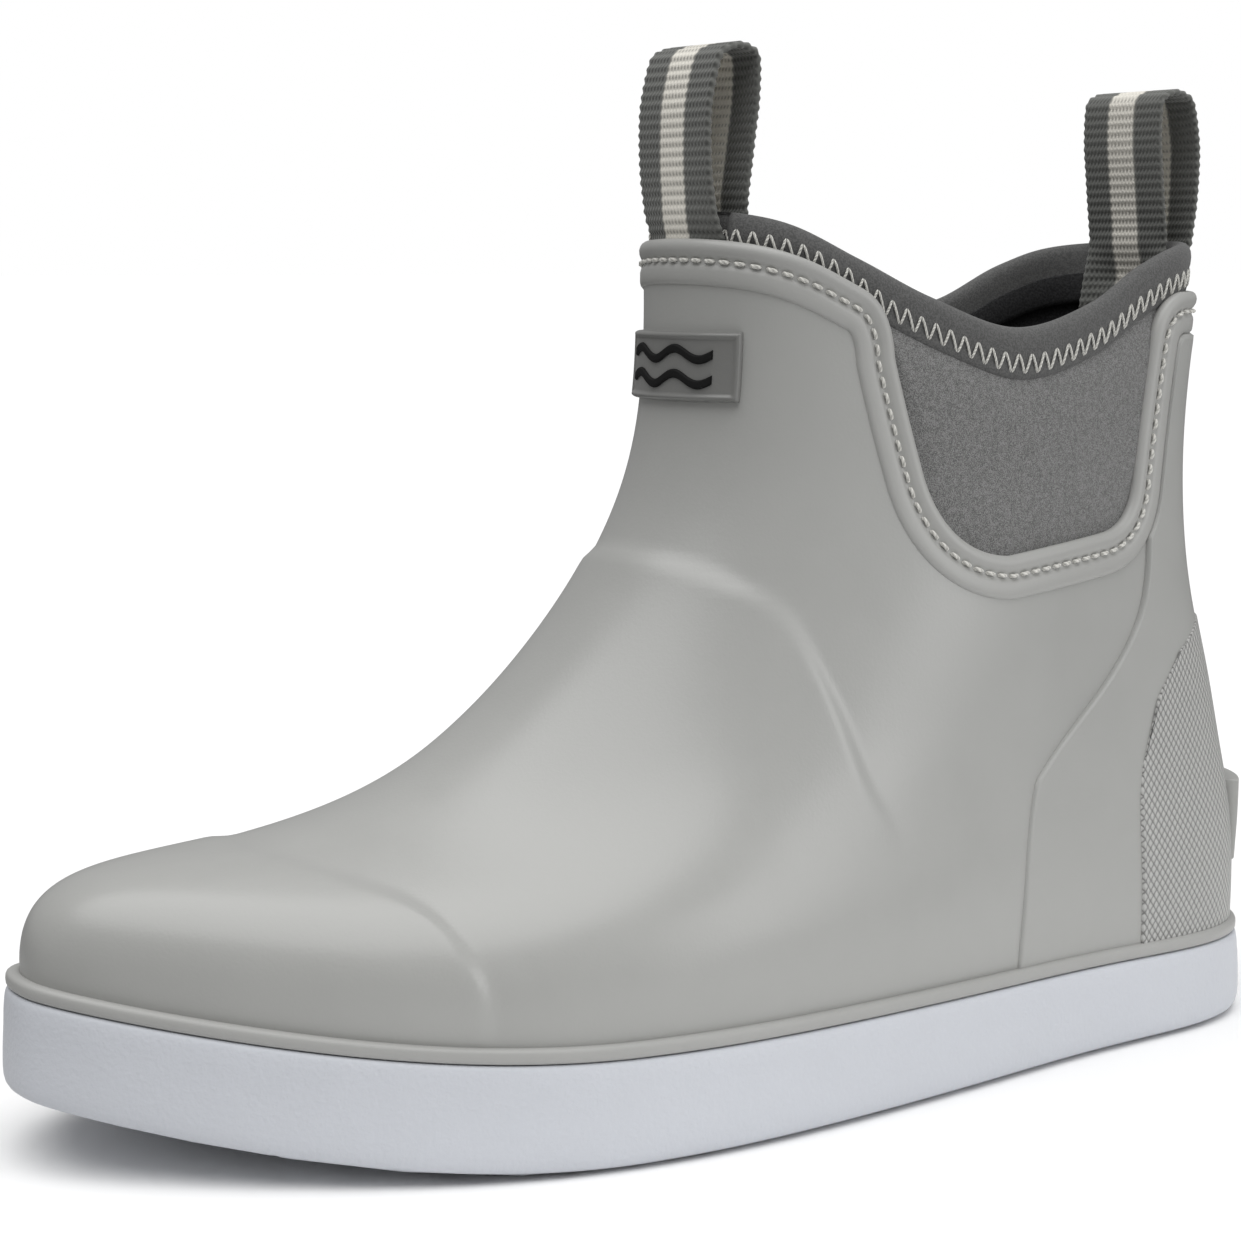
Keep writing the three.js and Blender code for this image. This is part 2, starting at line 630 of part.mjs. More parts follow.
const bootie = layer({ outer: insideUpper, inner: insideBootie })
  .intersect(prism(belowCollar(BINDING_HEIGHT + SEAM_GAP)))
  .subtract(everythingBelow(boardTop));
const bindingOuter = insideUpper - 2 * THREAD_RADIUS - GAP;
const bindingInner = bindingOuter - BINDING_WALL;
const binding = layer({ rows: shaftRows, outer: bindingOuter, inner: bindingInner })
  .intersect(prism(belowCollar(0)))
  .subtract(prism(belowCollar(BINDING_HEIGHT)));

const gorePanels = layer({ rows: shaftRows, outer: -GORE_RECESS, inner: -GORE_RECESS - GORE_WALL })
  .intersect(prism(rubberEdge(-SEAM_GAP)))
  .intersect(prism(belowCollar(BINDING_HEIGHT + SEAM_GAP)))
  .intersect(prism(polygon([[24, 90], [108, 90], [108, 200], [24, 200]])));
const outerSide = slab(0, REACH);
addPart("gore_lateral", gorePanels.intersect(outerSide), NEOPRENE);
addPart("gore_medial", gorePanels.subtract(outerSide), NEOPRENE);

// ---------------------------------------------------------------- pull loops

// Height of the collar edge at a distance along the boot.
const collarSamples = belowCollar(0).getSpacedPoints(800).filter((p) => p.y > height(120));
function collarEdge(y) {
  return collarSamples.reduce((a, b) => (Math.abs(b.x - y) < Math.abs(a.x - y) ? b : a)).y;
}

// Pivot of a loop: the middle of the rounded collar edge, halfway between the webbing's
// centre and its edges, because the collar curves behind the flat webbing.
function loopPivot(turn) {
  const middle = bindingOuter - BINDING_WALL / 2;
  const level = collarEdge(skinPoint(TOP_ROW - 0.4, turn, middle).y) - BINDING_WALL / 2;
  const row = rowAtHeight(turn, level);
  const centre = skinPoint(row, turn, middle);
  let side = turn;
  while (Math.abs(skinPoint(row, side, middle).x) < WEBBING_WIDTH / 2) side += 0.01;
  const edge = skinPoint(row, side, middle);
  return new THREE.Vector2((centre.y + edge.y) / 2, level);
}

// Loop of webbing standing on the collar: two legs and a round top, cut across at the legs.
function pullLoop(pivot, lean) {
  const steps = 24;
  const innerHalf = (t) => {
    const rise = Math.sin(Math.min(1, t) * Math.PI * 0.5);
    return THREE.MathUtils.lerp(LOOP_GAP, LOOP_BULGE, rise) / 2;
  };
  const ring = (grow) => {
    const top = LOOP_HEIGHT - WEBBING_THICKNESS + grow;
    const shoulder = LOOP_HEIGHT - WEBBING_THICKNESS - LOOP_BULGE / 2;
    return Array.from({ length: steps + 1 }, (_, i) => {
      const s = i / steps;
      const leg = Math.min(s, 1 - s) / 0.35;
      if (leg < 1) {
        const side = s < 0.5 ? -1 : 1;
        const level = THREE.MathUtils.lerp(LOOP_START, shoulder, leg);
        return new THREE.Vector2(side * (innerHalf(leg) + grow), level);
      }
      const angle = Math.PI * (1 - (s - 0.35) / 0.3);
      return new THREE.Vector2(
        Math.cos(angle) * (LOOP_BULGE / 2 + grow),
        shoulder + Math.sin(angle) * (top - shoulder),
      );
    });
  };
  const outline = [...ring(0), ...ring(WEBBING_THICKNESS).reverse()];
  const shape = new THREE.Shape(outline.map((p) =>
    new THREE.Vector2(pivot.x + p.x + lean * (p.y / LOOP_HEIGHT) ** 2, pivot.y + p.y)));
  return prism(shape, -WEBBING_WIDTH / 2, WEBBING_WIDTH / 2);
}

// Sewn end of the webbing on the collar: outside, in a pocket behind the rubber, or inside.
function sewnTab(pivot, turns, outer, inner, grow = 0) {
  const top = pivot.y - TAB_DROP + grow;
  const bottom = pivot.y - TAB_DROP - TAB_LENGTH - grow;
  const corners = [[-BEYOND, bottom], [BEYOND, bottom], [BEYOND, top], [-BEYOND, top]];
  const band = new THREE.Shape(corners.map(([y, z]) => new THREE.Vector2(y, z)));
  return layer({ rows: [12, ROWS], turns, outer: outer + grow, inner: inner - grow })
    .intersect(prism(band, -WEBBING_WIDTH / 2 - grow, WEBBING_WIDTH / 2 + grow));
}

const LOOPS = [
  { name: "front", turn: 0, turns: [-7, 7], lean: 3 },
  { name: "rear", turn: Math.PI, turns: [11, 25], lean: -2 },
];
let collar = binding;
let lining = bootie;
for (const { name, turn, turns, lean } of LOOPS) {
  const pivot = loopPivot(turn);
  const outerTab = [bindingOuter, bindingOuter - POCKET_WALL];
  const innerTab = [bindingInner - GAP, bindingInner - GAP - WEBBING_THICKNESS];
  addPart(`${name}_pull_loop`, pullLoop(pivot, lean), WEBBING);
  addPart(`${name}_loop_outer_tab`, sewnTab(pivot, turns, ...outerTab), WEBBING);
  addPart(`${name}_loop_inner_tab`, sewnTab(pivot, turns, ...innerTab), WEBBING);
  const pocket = sewnTab(pivot, turns, ...outerTab, GAP);
  collar = collar.subtract(pocket);
  lining = lining.subtract(pocket);
}
addPart("bootie_lining", lining, NEOPRENE);
addPart("collar_binding", collar, BINDING_KNIT);

// ---------------------------------------------------------------- stitching

// Mirrors a route over the outer side of the boot to the inner side, and closes the loop.
const bothSides = (route) => [
  ...route,
  ...[...route].reverse().slice(1, -1).map(([row, turn]) => [row, 2 * Math.PI - turn]),
];

// Adds surface points where a route turns fast, so that the thread follows the round ends.
function refined(route, widest = 0.1) {
  return route.flatMap(([row, turn], i) => {
    if (i === 0) return [[row, turn]];
    const [rowBefore, turnBefore] = route[i - 1];
    const parts = Math.max(Math.ceil((turn - turnBefore) / widest), 1);
    return Array.from({ length: parts }, (_, k) => [
      THREE.MathUtils.lerp(rowBefore, row, (k + 1) / parts),
      THREE.MathUtils.lerp(turnBefore, turn, (k + 1) / parts),
    ]);
  });
}

// Topstitch: follows the rubber edge a little way in.
function topstitchRoute() {
  const outline = rubberEdge(STITCH_INSET).getSpacedPoints(260);
  const onBoot = outline.filter((p) => {
    if (p.y > height(176)) return false;
    const front = lastPoint(rowAtHeight(0, p.y), 0).y;
    const back = lastPoint(rowAtHeight(Math.PI, p.y), Math.PI).y;
    return p.x > front + 1 && p.x < back - 1;
  });
  const kept = onBoot.filter((_, i) => i % 2 === 0);
  const front = [rowAtHeight(0, height(173) - STITCH_INSET), 0];
  const back = [rowAtHeight(Math.PI, height(162) - STITCH_INSET), Math.PI];
  return bothSides(refined([front, ...kept.map((p) => locate(p.x, p.y)), back]));
}
addPart("edge_topstitch", threadLoop(topstitchRoute(), bandTop + 1.5 * GAP + THREAD_RADIUS), THREAD);

// Zigzag that joins the folded collar to the bootie and the stretch panels.
function zigzagRoute() {
  const route = [];
  for (let i = 0; i <= ZIGZAG_COUNT; i += 1) {
    const turn = (i / ZIGZAG_COUNT) * Math.PI;
    let row = 7;
    for (let pass = 0; pass < 12; pass += 1) {
      const here = lastPoint(row, turn);
      const seam = collarEdge(here.y) - BINDING_HEIGHT;
      const wanted = seam + SEAM_GAP + THREAD_RADIUS + (i % 2 ? ZIGZAG_HEIGHT : 0);
      const slope = (lastPoint(row + 0.01, turn).z - here.z) / 0.01;
      row = clamp(row + (wanted - here.z) / slope, 4, TOP_ROW);
    }
    route.push([row, turn]);
  }
  return bothSides(route);
}
addPart("collar_zigzag_stitch", threadLoop(zigzagRoute(), bindingOuter + GAP + THREAD_RADIUS), THREAD);

export default boot;
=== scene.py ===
"""Deck boot: the finished surfaces, cloth, webbing and stitching of a left ankle boot.

They are built round the boot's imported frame. Lengths in this file are millimetres until a mesh is made, and
the frame's axes are kept: +Z up, the toe towards -Y, the outer side of the foot towards +X.
"""

import json

import bmesh
import bpy
import numpy as np
from bpy.props import FloatProperty, FloatVectorProperty, IntProperty, PointerProperty
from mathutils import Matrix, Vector


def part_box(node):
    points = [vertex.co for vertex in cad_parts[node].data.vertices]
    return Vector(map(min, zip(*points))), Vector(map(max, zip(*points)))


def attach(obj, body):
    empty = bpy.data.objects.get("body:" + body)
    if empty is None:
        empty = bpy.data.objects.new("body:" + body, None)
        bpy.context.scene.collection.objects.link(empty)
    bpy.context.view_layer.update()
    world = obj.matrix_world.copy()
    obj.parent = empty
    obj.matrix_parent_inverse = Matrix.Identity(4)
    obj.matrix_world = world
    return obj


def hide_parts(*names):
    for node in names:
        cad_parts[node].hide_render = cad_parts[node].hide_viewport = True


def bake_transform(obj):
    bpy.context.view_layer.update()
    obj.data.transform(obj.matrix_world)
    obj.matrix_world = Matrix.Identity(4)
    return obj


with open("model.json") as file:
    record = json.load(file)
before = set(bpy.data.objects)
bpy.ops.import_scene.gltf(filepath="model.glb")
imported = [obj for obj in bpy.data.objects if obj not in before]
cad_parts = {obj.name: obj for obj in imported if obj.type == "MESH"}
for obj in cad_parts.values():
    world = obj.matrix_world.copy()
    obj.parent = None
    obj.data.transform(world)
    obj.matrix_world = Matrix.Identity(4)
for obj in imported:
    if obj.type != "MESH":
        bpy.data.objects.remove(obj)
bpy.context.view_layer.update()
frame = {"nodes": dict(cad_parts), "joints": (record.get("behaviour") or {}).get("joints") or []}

bl_info = {
    "name": "Deck Boot",
    "version": (1, 0, 0),
    "blender": (4, 5, 0),
    "location": "View3D > Sidebar > Deck Boot",
    "description": "Builds a rubber deck boot with a neoprene bootie, stretch panels and webbing pull loops",
    "category": "Add Mesh",
}

MM = 0.001
BOX = {name: np.array(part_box(name)) / MM for name in frame["nodes"]}
HINGES = {joint["name"]: np.array(joint["pos_m"]) / MM for joint in frame["joints"]}

# ---------------------------------------------------------------- the last

# Stations of the last, from the lasting margin to just above the collar.
FRONT_ALONG = [-144, -144, -142, -128, -96, -60, -31, -12, -6, -8]
FRONT_HEIGHT = [7, 21, 38, 47, 54, 65, 90, 117, 144, 184]
BACK_ALONG = [142, 142, 142, 141, 137, 132, 125, 122, 124, 132]
BACK_HEIGHT = [7, 20, 34, 48, 62, 80, 98, 120, 145, 184]
OUTER_HALF = [55, 55, 56, 52, 47, 43, 39, 35, 32, 32]
INNER_HALF = [52, 52, 51, 44, 38, 35, 34, 32, 31, 31]
SHAFT_SHARE = [0, 0, 0, 0.1, 0.25, 0.45, 0.65, 0.88, 1, 1]
TOE_SHIFT = [-10, -10, -10, -8, -7, -5, -3, -1, 0, 0]
# Fullness of a section from its front to its back, as a factor on the half width.
FOOT_OUTER = [0.7, 1.1, 1.08, 0.92, 0.8, 0.74, 1.2]
FOOT_INNER = [1.32, 1.12, 1.03, 0.78, 0.72, 0.92, 1.22]
SHAFT_FULL = [1.5, 1.03, 1, 1, 1, 1.04, 1.5]
TOP_ROW = len(FRONT_ALONG) - 1
SOLE_ROW = TOP_ROW / 18           # the row that gives the sole its plan outline

TOE_SPRING = 14.4                 # rise of the sole under the tip of the toe
SPRING_START = -50                # the rise begins here
UPPER_SPRING_SHARE = 0.8          # the upper follows this much of it

SEARCH_ROW = 7.5                  # searches on the shaft start at this row
SEARCH_RADIUS = 55                # and take the shaft for a tube of this radius


def rocker(along):
    """Rise of the sole's underside: a parabola from SPRING_START to the toe."""
    return TOE_SPRING * np.maximum(0, (SPRING_START - along) / 100) ** 2


def spline(values, position):
    """Uniform cubic B-spline over the values, which begins and ends on the first and the last of them."""
    values = np.asarray(values, float)
    padded = np.concatenate([[2 * values[0] - values[1]], values, [2 * values[-1] - values[-2]]])
    position = np.clip(position, 0, len(values) - 1)
    span = np.minimum(position.astype(int), len(values) - 2)
    t = position - span
    weights = ((1 - t) ** 3, 3 * t**3 - 6 * t**2 + 4, 3 * (t + t**2 - t**3) + 1, t**3)
    return sum(weight * padded[span + k] for k, weight in enumerate(weights)) / 6


def last_point(row, turn):
    """Point of the last. The row climbs the stations. The turn runs from the front (0) over the outer side
    to the back (pi) and home over the inner side: the distance along the boot and the height go from the
    front's to the back's value with (1 - cos turn) / 2, and the width is half width x fullness x sin turn."""
    row, turn = np.broadcast_arrays(np.asarray(row, float), np.asarray(turn, float))
    share = (1 - np.cos(turn)) / 2
    outer = np.sin(turn) >= 0
    shaft = spline(SHAFT_SHARE, row)
    place = share * (len(FOOT_OUTER) - 1)
    foot = np.where(outer, spline(FOOT_OUTER, place), spline(FOOT_INNER, place))
    full = (1 - shaft) * foot + shaft * spline(SHAFT_FULL, place)
    half = np.where(outer, spline(OUTER_HALF, row), spline(INNER_HALF, row))
    x = spline(TOE_SHIFT, row) * (1 - share) ** 2 + half * full * np.sin(turn)
    y = (1 - share) * spline(FRONT_ALONG, row) + share * spline(BACK_ALONG, row)
    z = (1 - share) * spline(FRONT_HEIGHT, row) + share * spline(BACK_HEIGHT, row)
    return np.stack([x, y, z + UPPER_SPRING_SHARE * rocker(y)], -1)


def unit(vectors):
    return vectors / np.maximum(np.linalg.norm(vectors, axis=-1, keepdims=True), 1e-12)


def last_normal(row, turn):
    """Outward normal of the last: the step round the boot crossed with the step up it."""
    row, turn = np.broadcast_arrays(np.asarray(row, float), np.asarray(turn, float))
    step = 0.02
    up = last_point(np.minimum(row + step, TOP_ROW), turn) - last_point(np.maximum(row - step, 0), turn)
    round_boot = last_point(row, turn + step) - last_point(row, turn - step)
    return unit(np.cross(round_boot, up))


def skin(row, turn, depth=0.0):
    """Point at a distance outside the rubber surface; negative distances are inside it."""
    return last_point(row, turn) + last_normal(row, turn) * np.asarray(depth, float)[..., None]


def row_where(turn, level, depth=0.0, low=3.0):
    """Row at which each turn climbs past a level, a height that depends on the distance along the boot,
    found by halving."""
    low = np.full(np.shape(turn), low, float)
    high = np.full(np.shape(turn), TOP_ROW, float)
    for _ in range(26):
        middle = (low + high) / 2
        place = skin(middle, turn, depth)
        below = place[..., 2] < level(place[..., 1])
        low = np.where(below, middle, low)
        high = np.where(below, high, middle)
    return (low + high) / 2


def tangents(row, turn):
    step = 1e-3
    here = last_point(row, turn)
    return (last_point(row + step, turn) - here) / step, (last_point(row, turn + step) - here) / step


def slide(row, turn, heading, distance, steps=8):
    """Walks over the surface from each place towards its heading, in equal steps that add up to the distance:
    each step is the heading made flat to the surface, split into its row and turn parts."""
    row, turn = np.array(row, float), np.array(turn, float)
    for _ in range(steps):
        up, side = tangents(row, turn)
        normal = unit(np.cross(side, up))
        flat = unit(heading - normal * (heading * normal).sum(-1, keepdims=True)) * distance / steps
        uu, us, ss = (up * up).sum(-1), (up * side).sum(-1), (side * side).sum(-1)
        fu, fs = (flat * up).sum(-1), (flat * side).sum(-1)
        scale = uu * ss - us * us
        row = row + (fu * ss - fs * us) / scale
        turn = turn + (fs * uu - fu * us) / scale
    return row, turn


def find(across, height, behind=False, depth=0.0):
    """Row and turn of the front (or back) surface point at a distance across the boot and a height, by
    Newton's method on both."""
    across, height = np.broadcast_arrays(np.asarray(across, float), np.asarray(height, float))
    middle = np.pi if behind else 0.0
    way = -1 if behind else 1
    row = np.full(across.shape, SEARCH_ROW)
    turn = middle + way * across / SEARCH_RADIUS
    step = 1e-3
    for _ in range(12):
        here = skin(row, turn, depth)
        up = (skin(row + step, turn, depth) - here) / step
        side = (skin(row, turn + step, depth) - here) / step
        dx, dz = across - here[..., 0], height - here[..., 2]
        scale = up[..., 0] * side[..., 2] - up[..., 2] * side[..., 0]
        climb = np.clip((dx * side[..., 2] - dz * side[..., 0]) / scale, -1, 1)
        row = np.clip(row + climb, 3, TOP_ROW - 0.01)
        turn = turn + np.clip((up[..., 0] * dz - up[..., 2] * dx) / scale, -0.3, 0.3)
    return row, turn


def smooth(value):
    """Smooth step from 0 to 1."""
    value = np.clip(value, 0, 1)
    return value * value * (3 - 2 * value)


def quarter_round(value):
    """Quarter circle from 0 to 1: the profile of a rounded rim."""
    return np.sqrt(1 - (1 - np.clip(value, 0, 1)) ** 2)


# ---------------------------------------------------------------- side-view lines


def bend(start, control, end, steps=10):
    """Quadratic curve between two points of a side-view line."""
    t = np.linspace(0, 1, steps + 1)[:, None]
    start, control, end = (np.array(p, float) for p in (start, control, end))
    return (1 - t) ** 2 * start + 2 * t * (1 - t) * control + t**2 * end


# Edge of the rubber: front tab, side window, rear tab.
RUBBER_EDGE = np.concatenate([
    [(-200, 174), (-60, 174)],
    bend((-12, 173), (2, 172), (14, 166)),
    bend((20, 163), (27, 160), (27.5, 149)),
    bend((32.5, 127), (36, 109), (54, 108), 16),
    bend((84, 111), (93.5, 112), (95.5, 121)),
    bend((101.5, 151), (103, 160), (112, 161.5)),
    [(200, 162)],
])
COLLAR_KNOTS = np.array([
    (-200, 181), (-60, 181), (-20, 180.5), (4, 177), (22, 169.3), (40, 161),
    (61, 155), (84, 160), (101, 168), (118, 172.5), (150, 174), (200, 174),
])


def through(knots, steps=12):
    """Catmull-Rom curve through the knots, which run along the first axis."""
    knots = np.asarray(knots, float)
    padded = np.concatenate([2 * knots[:1] - knots[1:2], knots, 2 * knots[-1:] - knots[-2:-1]])
    t = (np.arange(steps) / steps).reshape(-1, *[1] * (knots.ndim - 1))
    runs = []
    for a, b, c, d in zip(padded, padded[1:], padded[2:], padded[3:]):
        squared, cubed = 2 * a - 5 * b + 4 * c - d, 3 * b - a - 3 * c + d
        runs.append(0.5 * (2 * b + (c - a) * t + squared * t**2 + cubed * t**3))
    return np.concatenate([*runs, knots[-1:]])


COLLAR_LINE = through(COLLAR_KNOTS)


def rubber_level(along):
    return np.interp(along, RUBBER_EDGE[:, 0], RUBBER_EDGE[:, 1])


def collar_level(along):
    return np.interp(along, COLLAR_LINE[:, 0], COLLAR_LINE[:, 1])


def even_turns(count, curves, fine=4000):
    """Turns whose steps are even along several curves at once: their lengths are added up, and the total is
    divided evenly. Each curve gives a row for every turn."""
    turn = np.linspace(0, 2 * np.pi, fine + 1)
    total = np.zeros(fine + 1)
    for curve in curves:
        points = last_point(curve(turn), turn)
        total[1:] += np.cumsum(np.linalg.norm(np.diff(points, axis=0), axis=1))
    return np.interp(np.linspace(0, total[-1], count + 1)[:count], total, turn)


def at_row(level):
    """A curve that stays on one row, for even_turns."""
    return lambda turn: np.full_like(turn, level)


def edge_row(turn):
    return row_where(turn, rubber_level)


def edge_curve(count=900):
    """Even places along the rubber's edge, with the heading into the rubber at each: the way along the edge
    crossed with the surface's normal."""
    turn = even_turns(count, [edge_row])
    row = edge_row(turn)
    points = last_point(row, turn)
    ahead = unit(np.roll(points, -1, 0) - np.roll(points, 1, 0))
    heading = unit(np.cross(ahead, last_normal(row, turn)))
    for _ in range(4):
        heading = unit(heading * 2 + np.roll(heading, 1, 0) + np.roll(heading, -1, 0))
    return row, turn, heading


# ---------------------------------------------------------------- meshes


def weld(mesh):
    """Joins the coinciding vertices of the seams and ends."""
    work = bmesh.new()
    work.from_mesh(mesh)
    bmesh.ops.remove_doubles(work, verts=work.verts, dist=2e-6)
    work.to_mesh(mesh)
    work.free()


def signed_volume(points, faces):
    a, b, c, d = (points[faces[:, k]] for k in range(4))
    return ((a * np.cross(b, c)).sum() + (a * np.cross(c, d)).sum()) / 6


def finish_piece(name, points, faces, uv, material, body, replaces=()):
    """Puts points (mm) and quads into a mesh with its faces outwards, and ties it to the frame."""
    if signed_volume(points, faces) < 0:
        faces = faces[:, ::-1]
        uv = None if uv is None else uv[:, ::-1]
    mesh = bpy.data.meshes.new(name)
    mesh.from_pydata((points * MM).tolist(), [], faces.tolist())
    if uv is not None:
        layer = mesh.uv_layers.new(name="Length")
        layer.data.foreach_set("uv", np.ascontiguousarray(uv, np.float32).ravel())
    weld(mesh)
    mesh.polygons.foreach_set("use_smooth", np.ones(len(mesh.polygons), bool))
    mesh.materials.append(material)
    piece = bpy.data.objects.new(name, mesh)
    bpy.context.scene.collection.objects.link(piece)
    if body is not None:
        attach(piece, body)
    if replaces:
        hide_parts(*replaces)
    return piece


def grid_faces(rows, columns, wrap_rows=False, wrap_columns=False):
    """Quads of a grid, and the unwrapped row and column of every corner."""
    i, j = np.meshgrid(
        np.arange(rows if wrap_rows else rows - 1),
        np.arange(columns if wrap_columns else columns - 1),
        indexing="ij",
    )
    corner_rows = np.stack([i, i, i + 1, i + 1], -1).reshape(-1, 4)
    corner_columns = np.stack([j, j + 1, j + 1, j], -1).reshape(-1, 4)
    return (corner_rows % rows) * columns + corner_columns % columns, corner_rows, corner_columns


def lengths_along(points, axis, closed):
    """Mean length along one axis of a grid up to each of its lines, with one more if it is closed."""
    if closed:
        points = np.concatenate([points, np.take(points, [0], axis)], axis)
    steps = np.linalg.norm(np.diff(points, axis=axis), axis=-1).mean(1 - axis)
    return np.concatenate([[0], np.cumsum(steps)])


def grid_piece(name, points, material, body, replaces=(), wrap_rows=False, wrap_columns=False):
    """A piece from a grid of points; its map is the length in metres along each way of the grid."""
    rows, columns = points.shape[:2]
    faces, i, j = grid_faces(rows, columns, wrap_rows, wrap_columns)
    u = lengths_along(points, 1, wrap_columns) * MM
    v = lengths_along(points, 0, wrap_rows) * MM
    uv = np.stack([u[j], v[i]], -1)
    return finish_piece(name, points.reshape(-1, 3), faces, uv, material, body, replaces)


def closed_piece(name, points, material, replaces):
    """A grid closed both ways, like the skin of a ring, that rides on the boot."""
    return grid_piece(name, points, material, "boot", replaces, wrap_rows=True, wrap_columns=True)


def rim_distance(points):
    """Distance of each grid point from the grid's own rim, measured along its lines."""
    away = np.full(points.shape[:2], np.inf)
    for axis in (0, 1):
        steps = np.linalg.norm(np.diff(points, axis=axis), axis=-1)
        run = np.concatenate([0 * np.take(steps, [0], axis), np.cumsum(steps, axis)], axis)
        total = np.take(run, [-1], axis)
        away = np.minimum(away, np.minimum(run, total - run))
    return away


UNDERSIDE_DROP = 0.4              # a plate's underside sinks this far below its rim


def patch_piece(name, row, turn, base, top, radius, material, replaces, relief=None):
    """A raised plate on the boot: at the rim it starts at the base depth and rises to the top with a quarter
    round of the given radius; its underside sinks below the base the same way."""
    away = rim_distance(last_point(row, turn))
    rise = quarter_round(away / radius)
    depth = base + (top - base) * rise
    if relief is not None:
        depth = depth + relief(last_point(row, turn), away) * rise
    outer = skin(row, turn, depth)
    inner = skin(row, turn, base - UNDERSIDE_DROP * rise)
    points = np.concatenate([outer, inner[::-1]])
    return grid_piece(name, points, material, "boot", replaces, wrap_rows=True)


THREAD_STEPS = 7                  # rings of points along one stitch
THREAD_SIDES = 6                  # points in a ring, which the caps are made for


def stitch_arch(height, foot=0.15):
    """Height of a stitch along its run: half a sine wave that starts a little below the surface."""
    return np.sin(np.linspace(0, np.pi, THREAD_STEPS)) * height - foot


def threads(name, centres, normals, radius, replaces):
    """Short lengths of thread, all alike: a ring of points round every centre, in the plane across its run,
    with the ends drawn to a point."""
    count, steps = centres.shape[:2]
    sides = THREAD_SIDES
    ahead = unit(np.gradient(centres, axis=1))
    across = unit(np.cross(ahead, normals))
    up = np.cross(across, ahead)
    angle = np.arange(sides) / sides * 2 * np.pi
    girth = radius * np.clip(np.sin(np.linspace(0, np.pi, steps)) * 2.2, 0.05, 1)
    ring = across[:, :, None] * np.cos(angle)[:, None] + up[:, :, None] * np.sin(angle)[:, None]
    points = centres[:, :, None] + ring * girth[None, :, None, None]
    faces, i, j = grid_faces(steps, sides, wrap_columns=True)
    ends = np.array([[0, 1, 2, 3], [0, 3, 4, 5]])
    caps = np.concatenate([ends[:, ::-1], ends + (steps - 1) * sides])
    reach = np.linalg.norm(np.diff(centres, axis=1), axis=-1).sum(1).mean() * MM
    uv = np.stack([j / sides, i / (steps - 1) * reach / radius / MM], -1)
    one = np.concatenate([faces, caps])
    uv = np.concatenate([uv, np.zeros((len(caps), 4, 2))])
    every = (one[None] + (np.arange(count) * steps * sides)[:, None, None]).reshape(-1, 4)
    uv = np.tile(uv, (count, 1, 1))
    finish = bpy.data.materials.get("Thread") or twisted_thread("Thread", colours().thread)
    return finish_piece(name, points.reshape(-1, 3), every, uv, finish, "boot", replaces)


# ---------------------------------------------------------------- shader node groups


def new_group(name, inputs, outputs):
    """An empty shader node group with named sockets: (name, kind, default) for each input."""
    group = bpy.data.node_groups.new(name, "ShaderNodeTree")
    for label, kind, default in inputs:
        socket = group.interface.new_socket(label, in_out="INPUT", socket_type=kind)
        socket.default_value = default
    for label, kind in outputs:
        group.interface.new_socket(label, in_out="OUTPUT", socket_type=kind)
    return group, group.nodes.new("NodeGroupInput"), group.nodes.new("NodeGroupOutput")


def feed(tree, sockets, values):
    """Links each socket to its value, or sets it to a plain number or colour."""
    for socket, value in zip(sockets, values):
        if isinstance(value, bpy.types.NodeSocket):
            tree.links.new(value, socket)
        else:
            socket.default_value = value


def set_inputs(node, **values):
    """Sets a node's inputs to plain values; an underscore stands for a space in the input's name."""
    for label, value in values.items():
        node.inputs[label.replace("_", " ")].default_value = value


def math_node(tree, operation, *values):
    node = tree.nodes.new("ShaderNodeMath")
    node.operation = operation
    feed(tree, node.inputs, values)
    return node.outputs[0]


def noise_node(tree, vector, scale, detail=3.0, roughness=0.5):
    node = tree.nodes.new("ShaderNodeTexNoise")
    sockets = [node.inputs[label] for label in ("Vector", "Scale", "Detail", "Roughness")]
    feed(tree, sockets, (vector, scale, detail, roughness))
    return node.outputs["Fac"]


def ramp(tree, value, low, high):
    """Value carried from the range low to high to the range 0 to 1, smoothly."""
    node = tree.nodes.new("ShaderNodeMapRange")
    node.interpolation_type = "SMOOTHSTEP"
    feed(tree, [node.inputs[label] for label in ("Value", "From Min", "From Max")], (value, low, high))
    return node.outputs["Result"]


MIX_INPUTS = (0, 6, 7)            # the factor and the two colours of a mix node
MIX_RESULT = 2


def mix_colours(tree, factor, first, second, blend_type="MIX"):
    node = tree.nodes.new("ShaderNodeMix")
    node.data_type = "RGBA"
    node.blend_type = blend_type
    feed(tree, [node.inputs[k] for k in MIX_INPUTS], (factor, first, second))
    return node.outputs[MIX_RESULT]


